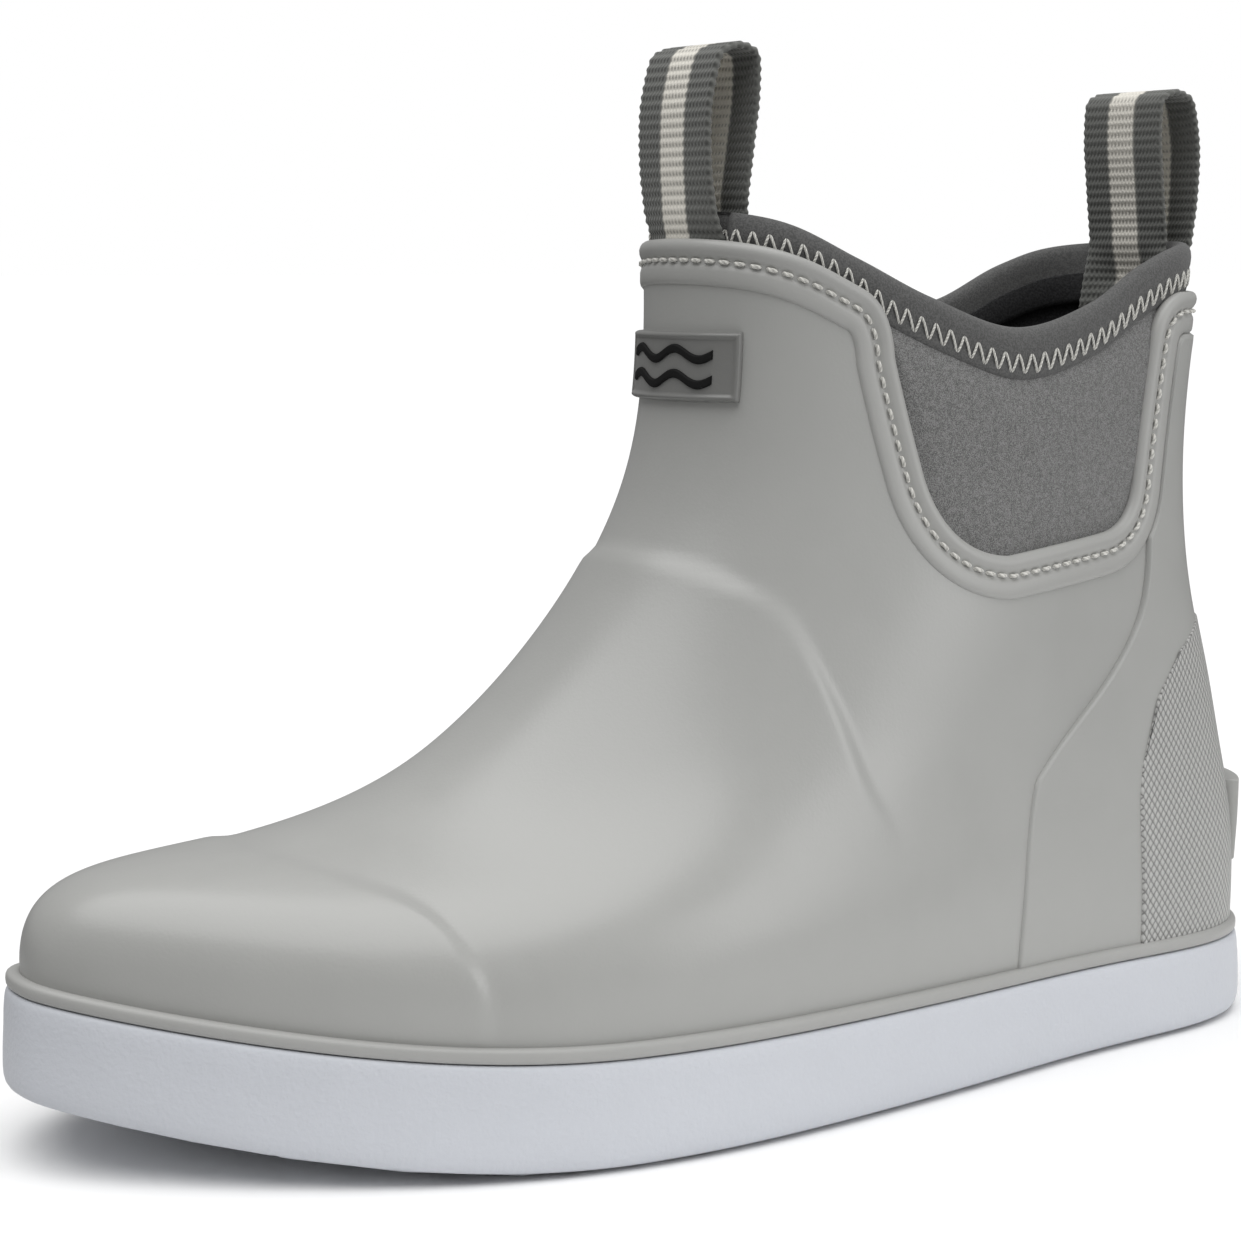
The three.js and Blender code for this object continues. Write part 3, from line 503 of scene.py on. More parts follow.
def moulded_grain_group():
    """Moulded rubber: fine pores, broad soft unevenness and faint dusty patches."""
    group, given, out = new_group(
        "Moulded Grain",
        [
            ("Vector", "NodeSocketVector", (0, 0, 0)),
            ("Colour", "NodeSocketColor", (0.4, 0.4, 0.4, 1)),
            ("Pore Scale", "NodeSocketFloat", 1400.0),
            ("Roughness", "NodeSocketFloat", 0.4),
            ("Variation", "NodeSocketFloat", 0.06),
        ],
        [("Colour", "NodeSocketColor"), ("Roughness", "NodeSocketFloat"), ("Height", "NodeSocketFloat")],
    )
    pores = noise_node(group, given.outputs["Vector"], given.outputs["Pore Scale"], 2.0)
    broad = noise_node(group, given.outputs["Vector"], 22.0, 4.0, 0.55)
    cloudy = noise_node(group, given.outputs["Vector"], 70.0, 3.0, 0.6)
    patches = math_node(group, "SUBTRACT", math_node(group, "ADD", broad, cloudy), 1.0)
    shift = math_node(group, "MULTIPLY", patches, given.outputs["Variation"])
    lightness = math_node(group, "ADD", shift, 1.0)
    level = group.nodes.new("ShaderNodeCombineColor")
    for socket in level.inputs:
        group.links.new(lightness, socket)
    colour = mix_colours(group, 1.0, given.outputs["Colour"], level.outputs[0], "MULTIPLY")
    rough = math_node(group, "MULTIPLY_ADD", patches, 0.18, given.outputs["Roughness"])
    fine = math_node(group, "MULTIPLY_ADD", cloudy, 0.35, pores)
    group.links.new(colour, out.inputs["Colour"])
    group.links.new(rough, out.inputs["Roughness"])
    group.links.new(fine, out.inputs["Height"])
    return group


def knit_group():
    """Knitted cloth over foam: flecks of lighter and darker yarn over a fine, crowded bump."""
    group, given, out = new_group(
        "Knit Cloth",
        [
            ("Vector", "NodeSocketVector", (0, 0, 0)),
            ("Colour", "NodeSocketColor", (0.1, 0.1, 0.1, 1)),
            ("Fleck Colour", "NodeSocketColor", (0.3, 0.3, 0.3, 1)),
            ("Yarn Scale", "NodeSocketFloat", 1800.0),
            ("Fleck Share", "NodeSocketFloat", 0.5),
        ],
        [("Colour", "NodeSocketColor"), ("Height", "NodeSocketFloat")],
    )
    yarn = group.nodes.new("ShaderNodeTexVoronoi")
    yarn.feature = "F1"
    group.links.new(given.outputs["Vector"], yarn.inputs["Vector"])
    group.links.new(given.outputs["Yarn Scale"], yarn.inputs["Scale"])
    fleck = noise_node(group, given.outputs["Vector"], given.outputs["Yarn Scale"], 1.0)
    clump = noise_node(group, given.outputs["Vector"], 900.0, 3.0, 0.6)
    mask = ramp(group, math_node(group, "MULTIPLY_ADD", clump, 0.35, fleck), 0.55, 0.80)
    share = math_node(group, "MULTIPLY", mask, given.outputs["Fleck Share"])
    colour = mix_colours(group, share, given.outputs["Colour"], given.outputs["Fleck Colour"])
    domes = math_node(group, "SUBTRACT", 1.0, yarn.outputs["Distance"])
    height = math_node(group, "MULTIPLY_ADD", clump, 0.6, domes)
    group.links.new(colour, out.inputs["Colour"])
    group.links.new(height, out.inputs["Height"])
    return group


def node_group(maker, name):
    return bpy.data.node_groups.get(name) or maker()


# ---------------------------------------------------------------- materials

WEFT_PITCH = 1.9                  # one weft rib of the webbing
WARP_PITCH = 1.1                  # one warp yarn of the webbing
KNURL_PITCH = 2.3                 # one tooth of the heel guard's texture
HEEL_CENTRE = 0.1                 # middle of the heel's curve along the boot, in metres
HEEL_RADIUS = 0.042               # its radius, in metres


def new_material(name):
    material = bpy.data.materials.new(name)
    material.use_nodes = True
    tree = material.node_tree
    return material, tree, tree.nodes["Principled BSDF"]


def object_coordinates(tree):
    return tree.nodes.new("ShaderNodeTexCoord").outputs["Object"]


def length_map(tree):
    """The two ways of the piece's own map, which are lengths."""
    chart = tree.nodes.new("ShaderNodeUVMap")
    chart.uv_map = "Length"
    parts = tree.nodes.new("ShaderNodeSeparateXYZ")
    tree.links.new(chart.outputs["UV"], parts.inputs[0])
    return parts.outputs["X"], parts.outputs["Y"]


def darker(colour, factor):
    return colour4([part * factor for part in colour])


def add_bump(tree, shader, height, distance):
    bump = tree.nodes.new("ShaderNodeBump")
    set_inputs(bump, Distance=distance, Strength=1.0)
    tree.links.new(height, bump.inputs["Height"])
    tree.links.new(bump.outputs["Normal"], shader.inputs["Normal"])


def colour4(colour):
    return (*colour[:3], 1.0)


def rubber(name, colour, roughness=0.4, pore_scale=1400.0, pore_depth=0.00003, variation=0.06, coat=0.0):
    """Moulded rubber with pores and a soft sheen."""
    material, tree, shader = new_material(name)
    grain = tree.nodes.new("ShaderNodeGroup")
    grain.node_tree = node_group(moulded_grain_group, "Moulded Grain")
    tree.links.new(object_coordinates(tree), grain.inputs["Vector"])
    set_inputs(grain, Colour=colour4(colour), Pore_Scale=pore_scale, Roughness=roughness, Variation=variation)
    tree.links.new(grain.outputs["Colour"], shader.inputs["Base Color"])
    tree.links.new(grain.outputs["Roughness"], shader.inputs["Roughness"])
    set_inputs(shader, Specular_IOR_Level=0.5, Coat_Weight=coat, Coat_Roughness=0.35)
    add_bump(tree, shader, grain.outputs["Height"], pore_depth)
    return material


def toothed_rubber(name, colour):
    """Rubber with fine square teeth, cut by two crossing sets of slanted grooves. The grooves are laid out in
    the distance along the heel and the height, and carry painted shade: they are a little darker than the
    teeth."""
    material = rubber(name, colour, 0.46, pore_scale=2200.0)
    tree = material.node_tree
    shader = tree.nodes["Principled BSDF"]
    parts = tree.nodes.new("ShaderNodeSeparateXYZ")
    tree.links.new(object_coordinates(tree), parts.inputs[0])
    behind_centre = math_node(tree, "SUBTRACT", parts.outputs["Y"], HEEL_CENTRE)
    angle = math_node(tree, "ARCTAN2", parts.outputs["X"], behind_centre)
    around = math_node(tree, "MULTIPLY", angle, HEEL_RADIUS)
    waves = []
    for slant in (1.0, -1.0):
        place = math_node(tree, "MULTIPLY_ADD", parts.outputs["Z"], slant, around)
        wave = math_node(tree, "SINE", math_node(tree, "MULTIPLY", place, np.pi / (KNURL_PITCH * MM)))
        waves.append(math_node(tree, "ABSOLUTE", wave))
    tooth = math_node(tree, "POWER", math_node(tree, "MULTIPLY", *waves), 0.5)
    # painted shade: the grooves are given a darker colour than the teeth
    shaded_grooves = mix_colours(tree, ramp(tree, tooth, 0.1, 0.75), darker(colour, 0.5), colour4(colour))
    tree.links.new(shaded_grooves, shader.inputs["Base Color"])
    add_bump(tree, shader, tooth, 0.0005)
    return material


def knit(name, colour, fleck_colour, yarn_scale=1800.0, fleck_share=0.5, depth=0.00012, sheen=0.2):
    """Knitted jersey laminated to neoprene."""
    material, tree, shader = new_material(name)
    cloth = tree.nodes.new("ShaderNodeGroup")
    cloth.node_tree = node_group(knit_group, "Knit Cloth")
    tree.links.new(object_coordinates(tree), cloth.inputs["Vector"])
    set_inputs(cloth, Colour=colour4(colour), Fleck_Colour=colour4(fleck_colour))
    set_inputs(cloth, Yarn_Scale=yarn_scale, Fleck_Share=fleck_share)
    tree.links.new(cloth.outputs["Colour"], shader.inputs["Base Color"])
    set_inputs(shader, Roughness=0.85, Specular_IOR_Level=0.3, Sheen_Weight=sheen, Sheen_Roughness=0.5)
    add_bump(tree, shader, cloth.outputs["Height"], depth)
    return material


def twisted_thread(name, colour):
    """Sewing thread: a slanted wave along the thread's own map for its twist; the colour is darkened along
    the wave's low side as painted shade in the twist's grooves.
    """
    material, tree, shader = new_material(name)
    girth, along = length_map(tree)
    slant = math_node(tree, "MULTIPLY_ADD", girth, 2 * np.pi, along)
    twist = math_node(tree, "SINE", math_node(tree, "MULTIPLY", slant, 2.0))
    # painted shade: the twist's grooves are darkened
    shade = ramp(tree, twist, -1.0, 0.4)
    base = mix_colours(tree, shade, darker(colour, 0.7), colour4(colour))
    tree.links.new(base, shader.inputs["Base Color"])
    set_inputs(shader, Roughness=0.7, Sheen_Weight=0.2)
    add_bump(tree, shader, twist, 0.00008)
    return material


def webbing_cloth(name, ground, stripe):
    """Ribbed webbing: its map gives the distance across (u) and along (v), in metres. Weft ribs run across,
    warp yarns pass over and under them, and a pale stripe fills the middle third. The low parts of the weave
    are darkened as painted shade."""
    material, tree, shader = new_material(name)
    across, along = length_map(tree)
    warp = math_node(tree, "SINE", math_node(tree, "MULTIPLY", across, 2 * np.pi / (WARP_PITCH * MM)))
    weft = math_node(tree, "SINE", math_node(tree, "MULTIPLY", along, 2 * np.pi / (WEFT_PITCH * MM)))
    woven = math_node(tree, "MULTIPLY", warp, weft)
    height = math_node(tree, "MULTIPLY_ADD", weft, 0.5, math_node(tree, "MULTIPLY", woven, 0.5))
    fuzz = noise_node(tree, object_coordinates(tree), 3000.0, 2.0)
    height = math_node(tree, "MULTIPLY_ADD", fuzz, 0.5, height)
    in_stripe = tree.nodes.new("ShaderNodeAttribute")
    in_stripe.attribute_name = "stripe"
    base = mix_colours(tree, in_stripe.outputs["Fac"], colour4(ground), colour4(stripe))
    # painted shade: the weave's low parts are darkened to half their colour
    shade = ramp(tree, height, -1.1, 0.6)
    weave_shaded = mix_colours(tree, 1.0, base, (0.5, 0.5, 0.5, 1.0), "MULTIPLY")
    tree.links.new(mix_colours(tree, shade, weave_shaded, base), shader.inputs["Base Color"])
    set_inputs(shader, Roughness=0.8, Specular_IOR_Level=0.3, Sheen_Weight=0.25)
    add_bump(tree, shader, height, 0.00018)
    return material


# ---------------------------------------------------------------- user settings


def length_property(name, description, default):
    return FloatProperty(name=name, description=description, default=default * MM, unit="LENGTH", precision=5)


def colour_property(name, description, default):
    return FloatVectorProperty(
        name=name, description=description, default=default, size=3, min=0, max=1, subtype="COLOR"
    )


class DeckBootSizes(bpy.types.PropertyGroup):
    rubber_wall: length_property("Rubber wall", "Thickness of the moulded upper", 1.9)
    tape_width: length_property("Tape width", "Raised band round the rubber's edge", 8.6)
    tape_rise: length_property("Tape rise", "Height of the raised band", 0.75)
    toe_cap_rise: length_property("Toe cap rise", "Step at the back of the toe cap", 0.7)
    vamp_rise: length_property("Vamp rise", "Step at the back of the vamp overlay", 1.2)
    quarter_rise: length_property("Quarter rise", "Thickness of the heel quarter overlay", 1.3)
    guard_rise: length_property("Guard rise", "Thickness of the textured heel guard", 2.0)
    stitch_length: length_property("Stitch length", "One topstitch and the hole after it", 3.3)
    thread_radius: length_property("Thread radius", "Half the thickness of the sewing thread", 0.42)
    zigzag_pitch: length_property("Zigzag pitch", "One full zigzag along the collar", 3.7)
    zigzag_height: length_property("Zigzag height", "Height of the zigzag", 4.8)
    webbing_thickness: length_property("Webbing thickness", "Thickness of the pull-loop webbing", 1.5)
    shell_columns: IntProperty(name="Shell columns", description="Mesh columns round the upper", default=520)
    shell_rows: IntProperty(name="Shell rows", description="Mesh rows up the upper", default=150)


class DeckBootColours(bpy.types.PropertyGroup):
    upper: colour_property("Upper", "Moulded rubber of the upper", (0.405, 0.407, 0.393))
    trim: colour_property("Trim", "Raised band and badge plate", (0.41, 0.41, 0.396))
    guard: colour_property("Guard", "Textured rubber at the heel", (0.54, 0.54, 0.525))
    sole: colour_property("Sole", "White sidewall and tread", (0.62, 0.64, 0.685))
    welt: colour_property("Welt", "Bead on top of the sidewall", (0.40, 0.40, 0.388))
    badge: colour_property("Badge", "Badge plate", (0.205, 0.205, 0.198))
    emblem: colour_property("Emblem", "Raised waves on the badge", (0.012, 0.012, 0.012))
    gore: colour_property("Gore", "Stretch panel ground", (0.118, 0.118, 0.116))
    gore_fleck: colour_property("Gore fleck", "Lighter yarns of the stretch panel", (0.50, 0.50, 0.495))
    binding: colour_property("Binding", "Folded collar edge", (0.088, 0.088, 0.087))
    lining: colour_property("Lining", "Inside of the bootie", (0.013, 0.013, 0.014))
    thread: colour_property("Thread", "Sewing thread", (0.80, 0.79, 0.74))
    webbing: colour_property("Webbing", "Ground of the webbing", (0.165, 0.168, 0.157))
    stripe: colour_property("Stripe", "Middle stripe of the webbing", (0.92, 0.885, 0.80))
    foam: colour_property("Foam", "Midsole foam", (0.10, 0.10, 0.11))
    board: colour_property("Board", "Insole board", (0.45, 0.37, 0.26))
    floor: colour_property("Floor", "Studio floor", (0.92, 0.92, 0.92))


def sizes():
    return bpy.context.scene.deck_boot_sizes


def colours():
    return bpy.context.scene.deck_boot_colours


def mm(length):
    return length / MM


# ---------------------------------------------------------------- upper

TOE_CAP_LINE = np.array([(-78.5, 0), (-78.5, 30), (-81, 42), (-86, 50), (-97, 55), (-112, 62), (-112, 90)])
VAMP_LINE = np.array([
    (19, 0), (19, 42), (16, 56), (11, 66), (6, 84), (0, 99), (-10, 106), (-20, 111), (-60, 130),
])
QUARTER_LINE = np.array([(53, 0), (54, 30), (58, 56), (64, 64.5), (84, 79.5), (94, 90), (98, 100), (99, 114)])
GUARD_LINE = np.array([(94.5, 0), (93.5, 45), (95, 60), (100, 74.5), (108, 84)])
GUARD_TOP = np.array([(90, 40), (95, 60), (100, 74.5), (108, 84), (118, 90), (150, 94)])
TOE_CAP_SMOOTH = through(TOE_CAP_LINE, 6)
VAMP_SMOOTH = through(VAMP_LINE, 6)
CAP_BULGE_HEIGHT = 30             # the toe cap swells between the welt and this much above it
CAP_SHOULDER = 3.2                # length of the slope at the toe cap's back edge
VAMP_SHOULDER = 4.4               # and at the vamp's
VAMP_FADE = (48, 78)              # the vamp's shoulder fades in between these heights
SHELL_FOOT_ROW = 0.35             # the shell starts inside the sole wrap
SHELL_INNER_ROWS = 16


def ahead_of(line, points):
    """Distance of each point from a side-view line, positive on the toe's side. The line climbs all the
    way."""
    y, z = points[..., 1], points[..., 2]
    nearest = np.full(y.shape, np.inf)
    for (ya, za), (yb, zb) in zip(line, line[1:]):
        length = np.hypot(yb - ya, zb - za) ** 2
        t = np.clip(((y - ya) * (yb - ya) + (z - za) * (zb - za)) / length, 0, 1)
        nearest = np.minimum(nearest, np.hypot(y - ya - t * (yb - ya), z - za - t * (zb - za)))
    return np.where(y < np.interp(z, line[:, 1], line[:, 0]), nearest, -nearest)


def upper_relief(points):
    """Moulded steps of the upper: the toe cap and the vamp overlay each lie a little proud of what is behind
    them, with a soft shoulder, and the vamp's shoulder fades towards the sole."""
    ahead = smooth((ahead_of(TOE_CAP_SMOOTH, points) + CAP_SHOULDER / 2) / CAP_SHOULDER)
    above = (points[..., 2] - welt_top(points[..., 1])) / CAP_BULGE_HEIGHT
    bulge = np.sin(np.pi * np.clip(above, 0, 1)) ** 0.8
    toe = ahead * mm(sizes().toe_cap_rise) * (0.5 + 1.9 * bulge)
    fade = smooth((points[..., 2] - VAMP_FADE[0]) / (VAMP_FADE[1] - VAMP_FADE[0]))
    rise = mm(sizes().vamp_rise)
    vamp = rise * smooth((ahead_of(VAMP_SMOOTH, points) + VAMP_SHOULDER / 2) / VAMP_SHOULDER)
    return toe + (1 - fade) * 0.5 * rise + fade * vamp


def build_upper_shell():
    """The outer skin is the last with the moulded steps added, from inside the sole wrap up to the rubber's
    edge; the inner skin lies one wall inside it, and both ends are closed."""
    wall = mm(sizes().rubber_wall)
    turn = even_turns(sizes().shell_columns, [edge_row, at_row(0.8), at_row(4.0)])[None, :]
    top = edge_row(turn)
    share = np.linspace(0, 1, sizes().shell_rows)[:, None]
    row = SHELL_FOOT_ROW + (top - SHELL_FOOT_ROW) * share
    outer = skin(row, turn, upper_relief(last_point(row, turn)))
    inner_share = np.linspace(1, 0, SHELL_INNER_ROWS)[:, None]
    inner = skin(SHELL_FOOT_ROW + (top - SHELL_FOOT_ROW) * inner_share, turn, -wall)
    finish = rubber("Upper Rubber", colours().upper, 0.33, coat=0.18)
    nodes = ("rubber_upper", "toe_cap", "vamp_overlay")
    return closed_piece("upper_shell", np.concatenate([outer, inner]), finish, nodes)


def build_edge_tape():
    """Band round the rubber's edge: a profile of (distance into the rubber, height) carried along the edge.
    It has a rolled lip, a sunk channel for the topstitch and a step at its far side."""
    row, turn, heading = edge_curve()
    width, rise = mm(sizes().tape_width), mm(sizes().tape_rise)
    wall = mm(sizes().rubber_wall)
    profile = np.array([
        (0.2, -wall - 0.1), (-0.3, -wall + 0.2), (-0.5, -0.9), (-0.42, -0.2), (-0.1, 0.4 * rise),
        (0.4, 0.85 * rise), (1.0, 1.1 * rise), (1.8, 1.05 * rise), (2.4, 0.75 * rise), (2.8, 0.5 * rise),
        (3.2, 0.1 * rise), (4.2, 0.1 * rise), (4.6, 0.4 * rise), (5.0, 0.75 * rise), (5.6, 0.95 * rise),
        (6.6, rise), (width - 1.1, rise), (width - 0.6, 0.85 * rise), (width - 0.25, 0.5 * rise),
        (width, 0), (width, -0.4), (4.5, -0.6), (1.0, -wall - 0.1),
    ])
    rings = []
    for distance, depth in profile:
        r, t = slide(row, turn, heading, distance)
        rings.append(skin(r, t, depth))
    finish = rubber("Trim Rubber", colours().trim, 0.4, coat=0.05)
    return closed_piece("edge_band", np.stack(rings), finish, ("edge_tape",))


STITCH_INSET = 3.7                # topstitch from the rubber's edge
STITCH_SPAN = (0.08, 0.86)        # share of its length that a stitch shows; the rest is the hole


def build_topstitch():
    """Lock stitches along the edge: each is an arch between two holes."""
    row, turn, heading = edge_curve()
    rise = mm(sizes().tape_rise) * 0.15
    radius = mm(sizes().thread_radius)
    r, t = slide(row, turn, heading, STITCH_INSET)
    route = np.concatenate([skin(r, t, rise), last_normal(r, t)], -1)
    closed = np.concatenate([route, route[:1]])
    run = np.concatenate([[0], np.cumsum(np.linalg.norm(np.diff(closed[:, :3], axis=0), axis=1))])
    count = int(round(run[-1] / mm(sizes().stitch_length)))
    share = np.linspace(*STITCH_SPAN, THREAD_STEPS)
    places = (np.arange(count)[:, None] + share) * run[-1] / count
    along = np.stack([np.interp(places, run, column) for column in closed.T], -1)
    normals = unit(along[..., 3:])
    centres = along[..., :3] + normals * stitch_arch(radius + 0.25)[None, :, None]
    return threads("topstitch", centres, normals, radius, ("edge_topstitch",))


def side_place(along, height):
    """Row and turn of the outer side's surface points with given side-view places: the nearest point of a
    coarse grid, then Newton's method on the distance along the boot and the height."""
    rows, turns = np.meshgrid(np.linspace(0.1, 8.9, 60), np.linspace(0.05, np.pi - 0.05, 60), indexing="ij")
    grid = last_point(rows, turns)
    miss = np.hypot(grid[..., 1].ravel()[None] - along[:, None], grid[..., 2].ravel()[None] - height[:, None])
    best = miss.argmin(1)
    row, turn = rows.ravel()[best], turns.ravel()[best]
    for _ in range(8):
        here = last_point(row, turn)
        up, side = tangents(row, turn)
        dy, dz = along - here[:, 1], height - here[:, 2]
        scale = up[:, 1] * side[:, 2] - up[:, 2] * side[:, 1]
        row = np.clip(row + (dy * side[:, 2] - dz * side[:, 1]) / scale, 0.05, TOP_ROW - 0.05)
        turn = np.clip(turn + (up[:, 1] * dz - up[:, 2] * dy) / scale, 0.02, np.pi - 0.02)
    return row, turn


def crowded(count, rim):
    """Shares from 0 to 1, even in the middle and crowded next to both ends, where rim is a share."""
    ends = rim * np.array([0, 0.12, 0.25, 0.4, 0.6, 0.8])
    return np.concatenate([ends, np.linspace(rim, 1 - rim, count), 1 - ends[::-1]])


def heel_grid(line, top_level, foot_row, columns, rows, rim=0.01):
    """Rows and turns of a patch round the heel: its front ends lie on a side-view line on both sides, its
    foot on one row and its top on a level that depends on the distance along the boot."""
    smooth_line = through(line, 8)
    keep = (smooth_line[:, 1] > 14) & (smooth_line[:, 1] < top_level(smooth_line[:, 0]) + 0.5)
    row, turn = side_place(*smooth_line[keep].T)
    ceiling = row_where(turn, top_level, low=1.0)
    share = np.maximum.accumulate((row - foot_row) / (ceiling - foot_row))
    v = np.append(np.linspace(0, 0.985, rows), [0.99, 0.994, 0.997, 1])[:, None]
    first = np.interp(v, share / share[-1], turn)
    u = crowded(columns, rim)[None, :]
    turns = (1 - u) * first + u * (2 * np.pi - first)
    high = row_where(turns, top_level, low=1.0)
    return foot_row + (high - foot_row) * v, turns


def tape_foot_level(along):
    """Height of the lower side of the edge band behind the side window."""
    row, turn, heading = edge_curve(600)
    r, t = slide(row, turn, heading, mm(sizes().tape_width) - 0.4)
    place = last_point(r, t)
    behind = (t > 1.9) & (t < np.pi)
    order = np.argsort(place[behind, 1])
    return np.interp(along, place[behind, 1][order], place[behind, 2][order])


def build_heel_quarter():
    """Overlay that wraps the heel, with a crisp rounded front edge on each side."""
    samples = np.linspace(60, 130, 141)
    levels = tape_foot_level(samples)
    row, turn = heel_grid(QUARTER_LINE, lambda y: np.interp(y, samples, levels), 0.6, 170, 110, rim=0.012)
    finish = rubber("Quarter Rubber", colours().upper, 0.38, coat=0.06)
    return patch_piece(
        "quarter_overlay", row, turn, -0.2, mm(sizes().quarter_rise), 0.95, finish,
        ("heel_quarter",),
    )


GUARD_BORDER = 1.8                # smooth border round the texture
GUARD_FIELD = 0.3                 # the texture is sunk this much


def build_heel_guard():
    """Heel guard: a sunk field of fine teeth inside a smooth raised border."""
    level = lambda y: np.interp(y, GUARD_TOP[:, 0], GUARD_TOP[:, 1])
    row, turn = heel_grid(GUARD_LINE, level, 0.7, 200, 140, rim=0.02)
    field = lambda points, away: -GUARD_FIELD * smooth((away - GUARD_BORDER) / 0.5)
    finish = toothed_rubber("Guard Rubber", colours().guard)
    return patch_piece(
        "heel_guard_plate", row, turn, 0.3, mm(sizes().guard_rise), 0.9, finish,
        ("heel_guard",), relief=field,
    )


KICK_LEDGE_CLIMB = 3.5            # the ledge ends this much above its solid
KICK_LEDGE_SWELL = 1.9            # thickness it gains on the way up


def build_kick_tab():
    """Ledge across the heel: its thickness grows from its lower to its upper edge."""
    low, high = BOX["kick_tab"]
    half = (high[0] - low[0]) / 2 - 1
    u, v = crowded(40, 0.05), crowded(16, 0.12)
    across, height = np.meshgrid(half * (2 * u - 1), low[2] + (high[2] + KICK_LEDGE_CLIMB - low[2]) * v)
    row, turn = find_behind(across, height)

    def rise(points, away):
        share = np.clip((points[..., 2] - low[2]) / (high[2] - low[2]), 0, 1.2)
        return KICK_LEDGE_SWELL * share**1.3

    finish = rubber("Kick Tab Rubber", colours().upper, 0.38)
    return patch_piece(
        "kick_ledge", row, turn, 1.2, mm(sizes().guard_rise) + 0.2, 0.6, finish,
        ("kick_tab",), relief=rise,
    )


def find_behind(across, height):
    """Row and turn at the back of the heel, at a distance across and a height: the row is found by halving
    and the turn by Newton's method, in alternation."""
    turn = np.pi - across / 40
    row = row_where(turn, lambda y: height, low=0.2)
    step = 1e-3
    for _ in range(10):
        miss = last_point(row, turn)[..., 0] - across
        slope = (last_point(row, turn + step)[..., 0] - last_point(row, turn)[..., 0]) / step
        turn = turn - np.clip(miss / slope, -0.2, 0.2)
        row = row_where(turn, lambda y: height, low=0.2)
    return row, turn


# ---------------------------------------------------------------- badges


def plate_grid(band, half_width, columns, rows, behind, rim=0.04):
    """Rows and turns of a plate with straight sides across the front or the back of the shaft."""
    u, v = crowded(columns, rim), crowded(rows, 2 * rim)
    across, height = np.meshgrid(half_width * (2 * u - 1), band[0] + (band[1] - band[0]) * v)
    return find(across, height, behind)


def plate_relief(points, away):
    """Thin raised frame round a sunk field."""
    return -PLATE_FIELD * smooth((away - PLATE_FRAME) / 0.5)


PLATE_FRAME = 1.0                 # width of a plate's raised frame
PLATE_FIELD = 0.45                # depth of the field inside it
WAVE_SWING = 1.1                  # the waves rise and fall this much
WAVE_HALF = 0.95                  # half the thickness of a wave's line


def build_badges():
    """Front plate with two raised waves, and a plain rear plate of the same make."""
    low, high = BOX["front_badge"]
    half = (high[0] - low[0]) / 2
    plate = rubber("Badge Rubber", colours().badge, 0.34, coat=0.3)
    for name, node, behind in (("badge_plate", "front_badge", False), ("rear_plate", "rear_patch", True)):
        low, high = BOX[node]
        row, turn = plate_grid((low[2], high[2]), half, 90, 36, behind)
        patch_piece(name, row, turn, -0.1, 1.7, 0.7, plate, (node,), relief=plate_relief)
    ink = rubber("Emblem Rubber", colours().emblem, 0.7)
    set_inputs(ink.node_tree.nodes["Principled BSDF"], Specular_IOR_Level=0.12)
    for name in ("badge_wave_lower", "badge_wave_upper"):
        low, high = BOX[name]
        middle, reach = (low[2] + high[2]) / 2, (high[0] - low[0]) / 2
        u, v = crowded(70, 0.03), crowded(8, 0.2)
        across, offset = np.meshgrid(reach * (2 * u - 1), (2 * v - 1) * WAVE_HALF)
        height = middle + WAVE_SWING * np.sin((across / reach + 1) * 2 * np.pi) + offset
        row, turn = find(across, height)
        label = name.replace("badge_wave", "emblem_wave")
        patch_piece(label, row, turn, 1.1, 1.85, 0.45, ink, (name,))


# ---------------------------------------------------------------- bootie

BINDING_HEIGHT = 10               # seam to collar edge
BINDING_PROFILE = np.array([      # (height from the collar edge, distance from the rubber's surface)
    (-10.9, -2.6), (-10.8, -2.2), (-10.3, -1.8), (-9.4, -1.7), (-7.8, -1.95), (-6.2, -1.95), (-4.8, -1.7),
    (-3.3, -1.75), (-2.0, -2.05), (-1.0, -2.6), (-0.3, -3.3), (0, -4.2), (-0.25, -5.1), (-0.9, -5.8),
    (-2.0, -6.2), (-4.0, -6.35), (-8.0, -6.3), (-12.0, -6.2), (-12.5, -5.7), (-12.0, -4.9), (-11.2, -3.6),
])
POCKET_DEPTH = 1.9                # room behind the rubber tabs for the webbing
WEBBING_WIDTH = 25


def tab_share(turn, row=8.0):
    """1 where the webbing passes, at the front and the back of the collar, and 0 elsewhere."""
    across = np.abs(last_point(np.full_like(turn, row), turn)[..., 0])
    ends = np.abs(np.cos(turn)) > 0.7
    return smooth((WEBBING_WIDTH / 2 + 2.2 - across) / 1.8) * ends


def collar_middle(turn):
    """Row of the collar edge in the middle of its thickness."""
    return row_where(turn, collar_level, -4.0, low=4.0)


def on_collar(turn, rise, depth):
    """Surface points at a height from the collar edge and a distance from the rubber's surface."""
    row = row_where(turn, lambda y: collar_level(y) + rise, depth, low=4.0)
    return skin(row, turn, depth)


def build_collar_binding():
    """Folded collar edge: a closed profile of (height, depth) carried round the collar line; its outside is
    set back where the webbing passes."""
    turn = even_turns(420, [collar_middle])[None, :]
    rise, depth = BINDING_PROFILE[:, :1], BINDING_PROFILE[:, 1:]
    outside = smooth((depth + 4.6) / 1.6)
    depth = depth - POCKET_DEPTH * outside * tab_share(turn)
    finish = knit("Binding Knit", colours().binding, (0.2, 0.2, 0.197), 2600.0, 0.35, 0.00005, 0.15)
    rise, turn = np.broadcast_arrays(rise, turn)
    points = on_collar(turn, rise, depth)
    return closed_piece("collar_roll", points, finish, ("collar_binding",))


